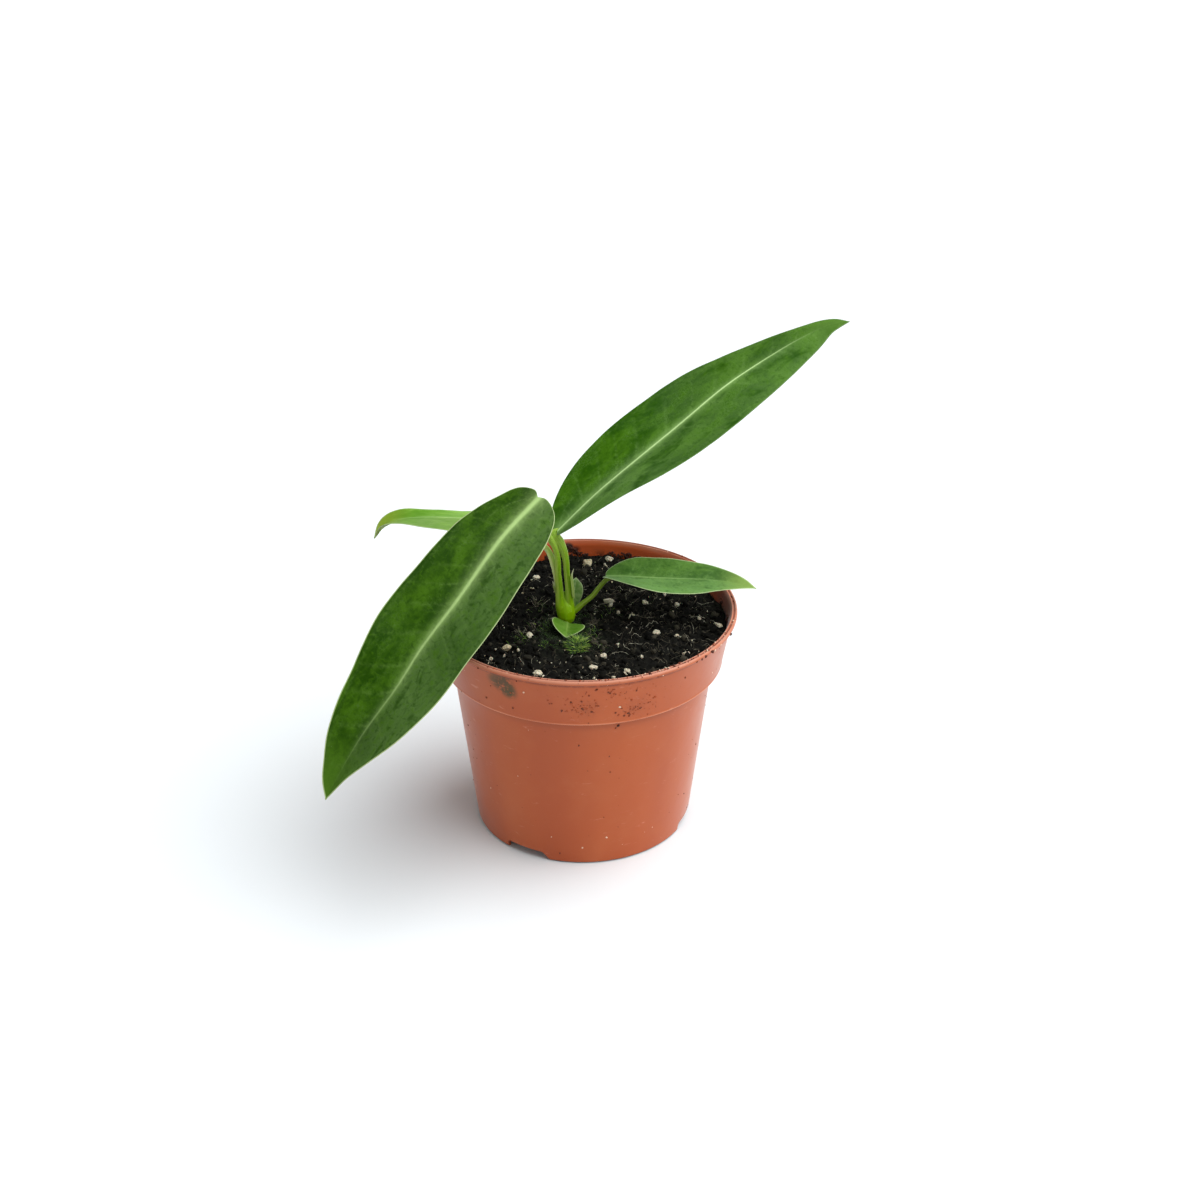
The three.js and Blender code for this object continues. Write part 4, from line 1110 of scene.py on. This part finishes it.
def speck_piece():
    rng = np.random.default_rng(41)
    batch = Batch()

    def on_wall(azimuth, z, size, tint, flat=0.35):
        """A crumb pressed flat on the outside, at a height and degrees from +X."""
        radius = RIM if z > LIP_UNDER else collar_radius(z) if z > COLLAR else body_radius(z)
        a = radians(azimuth)
        out = np.array([cos(a), sin(a), 0])
        side = np.array([-sin(a), cos(a), 0])
        shape = (size, size * rng.uniform(0.6, 1.1), size * flat)
        verts, faces = lump(rng, (0, 0, 0), shape, 2, 0.5, turn=False)
        spin = rng.uniform(0, TURN / 2)
        across = verts[:, 0] * cos(spin) - verts[:, 1] * sin(spin)
        up = verts[:, 0] * sin(spin) + verts[:, 1] * cos(spin)
        centre = out * (radius + 0.1 * size) + (0, 0, z)
        placed = centre + np.outer(across, side) + np.outer(up, [0, 0, 1]) + np.outer(verts[:, 2], out)
        batch.add(placed, faces, tint)

    def inside(azimuth, radius, z, size, tint):
        """A crumb at an angle and radius round the pot's axis."""
        batch.add(*lump(rng, (radius * cos(azimuth), radius * sin(azimuth), z), size, 2, 0.5), tint())

    for azimuth, spread, z, tall, number in (
            (-89, 8, 78, 3.4, 46), (-68, 8, 76, 3.6, 46), (-80, 30, 80, 8, 60), (-78, 16, 85, 2.5, 30)):
        for _ in range(number):
            size = 0.12 + 0.36 * rng.uniform() ** 2.5
            on_wall(azimuth + rng.normal() * spread * 0.5, z + rng.normal() * tall * 0.5, size,
                    rng.uniform(0.15, 0.7))
    for _ in range(190):
        size = 0.12 + 0.32 * rng.uniform() ** 2.5
        on_wall(rng.uniform(0, 360), rng.uniform(4, 86), size, rng.choice([0.1, 0.2, 0.3, 0.5, 0.95]))
    for azimuth, z, size, tint in (
            (-74.5, 66.4, 0.55, 0.05), (-75.5, 65.3, 0.35, 0.1), (-75.4, 77.6, 0.42, 0.95),
            (-101.6, 4.6, 0.4, 0.1), (-36.2, 90.3, 0.85, 0.1), (-20.4, 89.9, 0.75, 0.1),
            (-39.8, 89.9, 0.6, 0.1), (-42.1, 89.8, 0.45, 0.2), (-44.8, 89.8, 0.4, 0.1),
            (-34.2, 89.8, 0.45, 0.95), (-30, 90.1, 0.4, 0.95)):
        on_wall(azimuth, z, size, tint, 0.6)

    # Crumbs caught on the lip, most of them at the front right.
    for _ in range(260):
        azimuth = radians(rng.normal(-62, 28) if rng.uniform() < 0.75 else rng.uniform(0, 360))
        size = 0.1 + 0.42 * rng.uniform() ** 2.2
        r = rng.uniform(58, 60)
        z = HEIGHT + 0.02 if r < 59.4 else HEIGHT - rng.uniform(0.1, 1.6)
        inside(azimuth, r, z, size * rng.uniform(0.4, 1, 3), lambda: rng.choice([0.1, 0.3, 0.5, 0.95]))

    # Peat stuck to the inner wall above the mix, in clumps, most of it at the back.
    clumps = [(rng.normal(95, 50), 84.4 + abs(rng.normal()) * 1.1, rng.uniform(0.6, 2.2)) for _ in range(46)]
    clumps.extend([(96.5, 88.2, 1.5), (96, 87.6, 1.5), (93.5, 87, 1.3), (99, 86, 1.6), (72, 85.6, 2.4),
                   (55, 85.2, 2.6), (44, 85.6, 2.2)])
    for azimuth, height, spread in clumps:
        for _ in range(int(5 + 7 * spread)):
            a = radians(azimuth) + rng.normal() * spread * 0.011
            z = min(max(height + rng.normal() * spread * 0.4, 83.6), 89.2)
            size = 0.15 + 0.75 * rng.uniform() ** 1.8
            inside(a, wall_radius(z) - 0.1, z, size * rng.uniform(0.5, 0.9, 3),
                   lambda: rng.uniform(-0.2, 0.15))
    batch.piece("peat_specks", speck_shader(), "potting_mix")


speck_piece()


# Roots stay as the solids give them

def root_shader():
    s = Shader("roots", Roughness=0.8)
    bark = s.noise(s.coordinates(), 500, 4, 0.6)
    s.base(s.rise(bark, 0.35, 0.7), (150, 128, 92), (214, 200, 166))
    return s.finish(s.bump(bark, 0.5, 0.0004))


roots = root_shader()
for number in range(1, 6):
    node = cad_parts[f"root_{number}"]
    node.data.materials.clear()
    node.data.materials.append(roots.material)


# Floor, light and camera

FLOOR_REACH = 8
mesh = bpy.data.meshes.new("floor")
mesh.from_pydata([(x * FLOOR_REACH, y * FLOOR_REACH, 0) for x, y in ((-1, -1), (1, -1), (1, 1), (-1, 1))],
                 [], [(0, 1, 2, 3)])
mesh.materials.append(Shader("floor", Roughness=0.9, Base_Color=(0.855, 0.905, 0.93, 1),
                             Specular_IOR_Level=0.1).material)
floor = bpy.data.objects.new("floor", mesh)
bpy.context.scene.collection.objects.link(floor)

# The sky is brighter near the horizon than overhead.
world = bpy.data.worlds.new("studio")
world.use_nodes = True
sky = world.node_tree.nodes
link = world.node_tree.links.new
split = sky.new("ShaderNodeSeparateXYZ")
fade = sky.new("ShaderNodeMapRange")
link(sky.new("ShaderNodeTexCoord").outputs["Generated"], split.inputs[0])
link(split.outputs[2], fade.inputs[0])
for socket, value in zip(list(fade.inputs)[1:5], (0, 0.45, 1.05, 0.3)):
    socket.default_value = value
link(fade.outputs[0], sky["Background"].inputs[1])
sky["Background"].inputs[0].default_value = (1, 1, 1, 1)
bpy.context.scene.world = world
bpy.context.scene.view_settings.view_transform = "Standard"

sun = bpy.data.objects.new("key", bpy.data.lights.new("key", "SUN"))
sun.data.energy = 3.6
sun.data.angle = radians(74)
sun.location = (0.5, -0.05, 0.86)
sun.rotation_euler = (Vector((0, 0, 0.05)) - sun.location).to_track_quat("-Z", "Y").to_euler()
bpy.context.scene.collection.objects.link(sun)

camera = bpy.data.objects.new("camera", bpy.data.cameras.new("camera"))
camera.data.lens = 58.14
camera.data.sensor_width = 36
camera.data.clip_end = 50
pitch = radians(27.575)
aim = Vector((0.006825, 0, 0.09344))
camera.location = aim - 0.75 * Vector((0, cos(pitch), -sin(pitch)))
camera.rotation_euler = (pi / 2 - pitch, 0, 0)
bpy.context.scene.collection.objects.link(camera)
bpy.context.scene.camera = camera
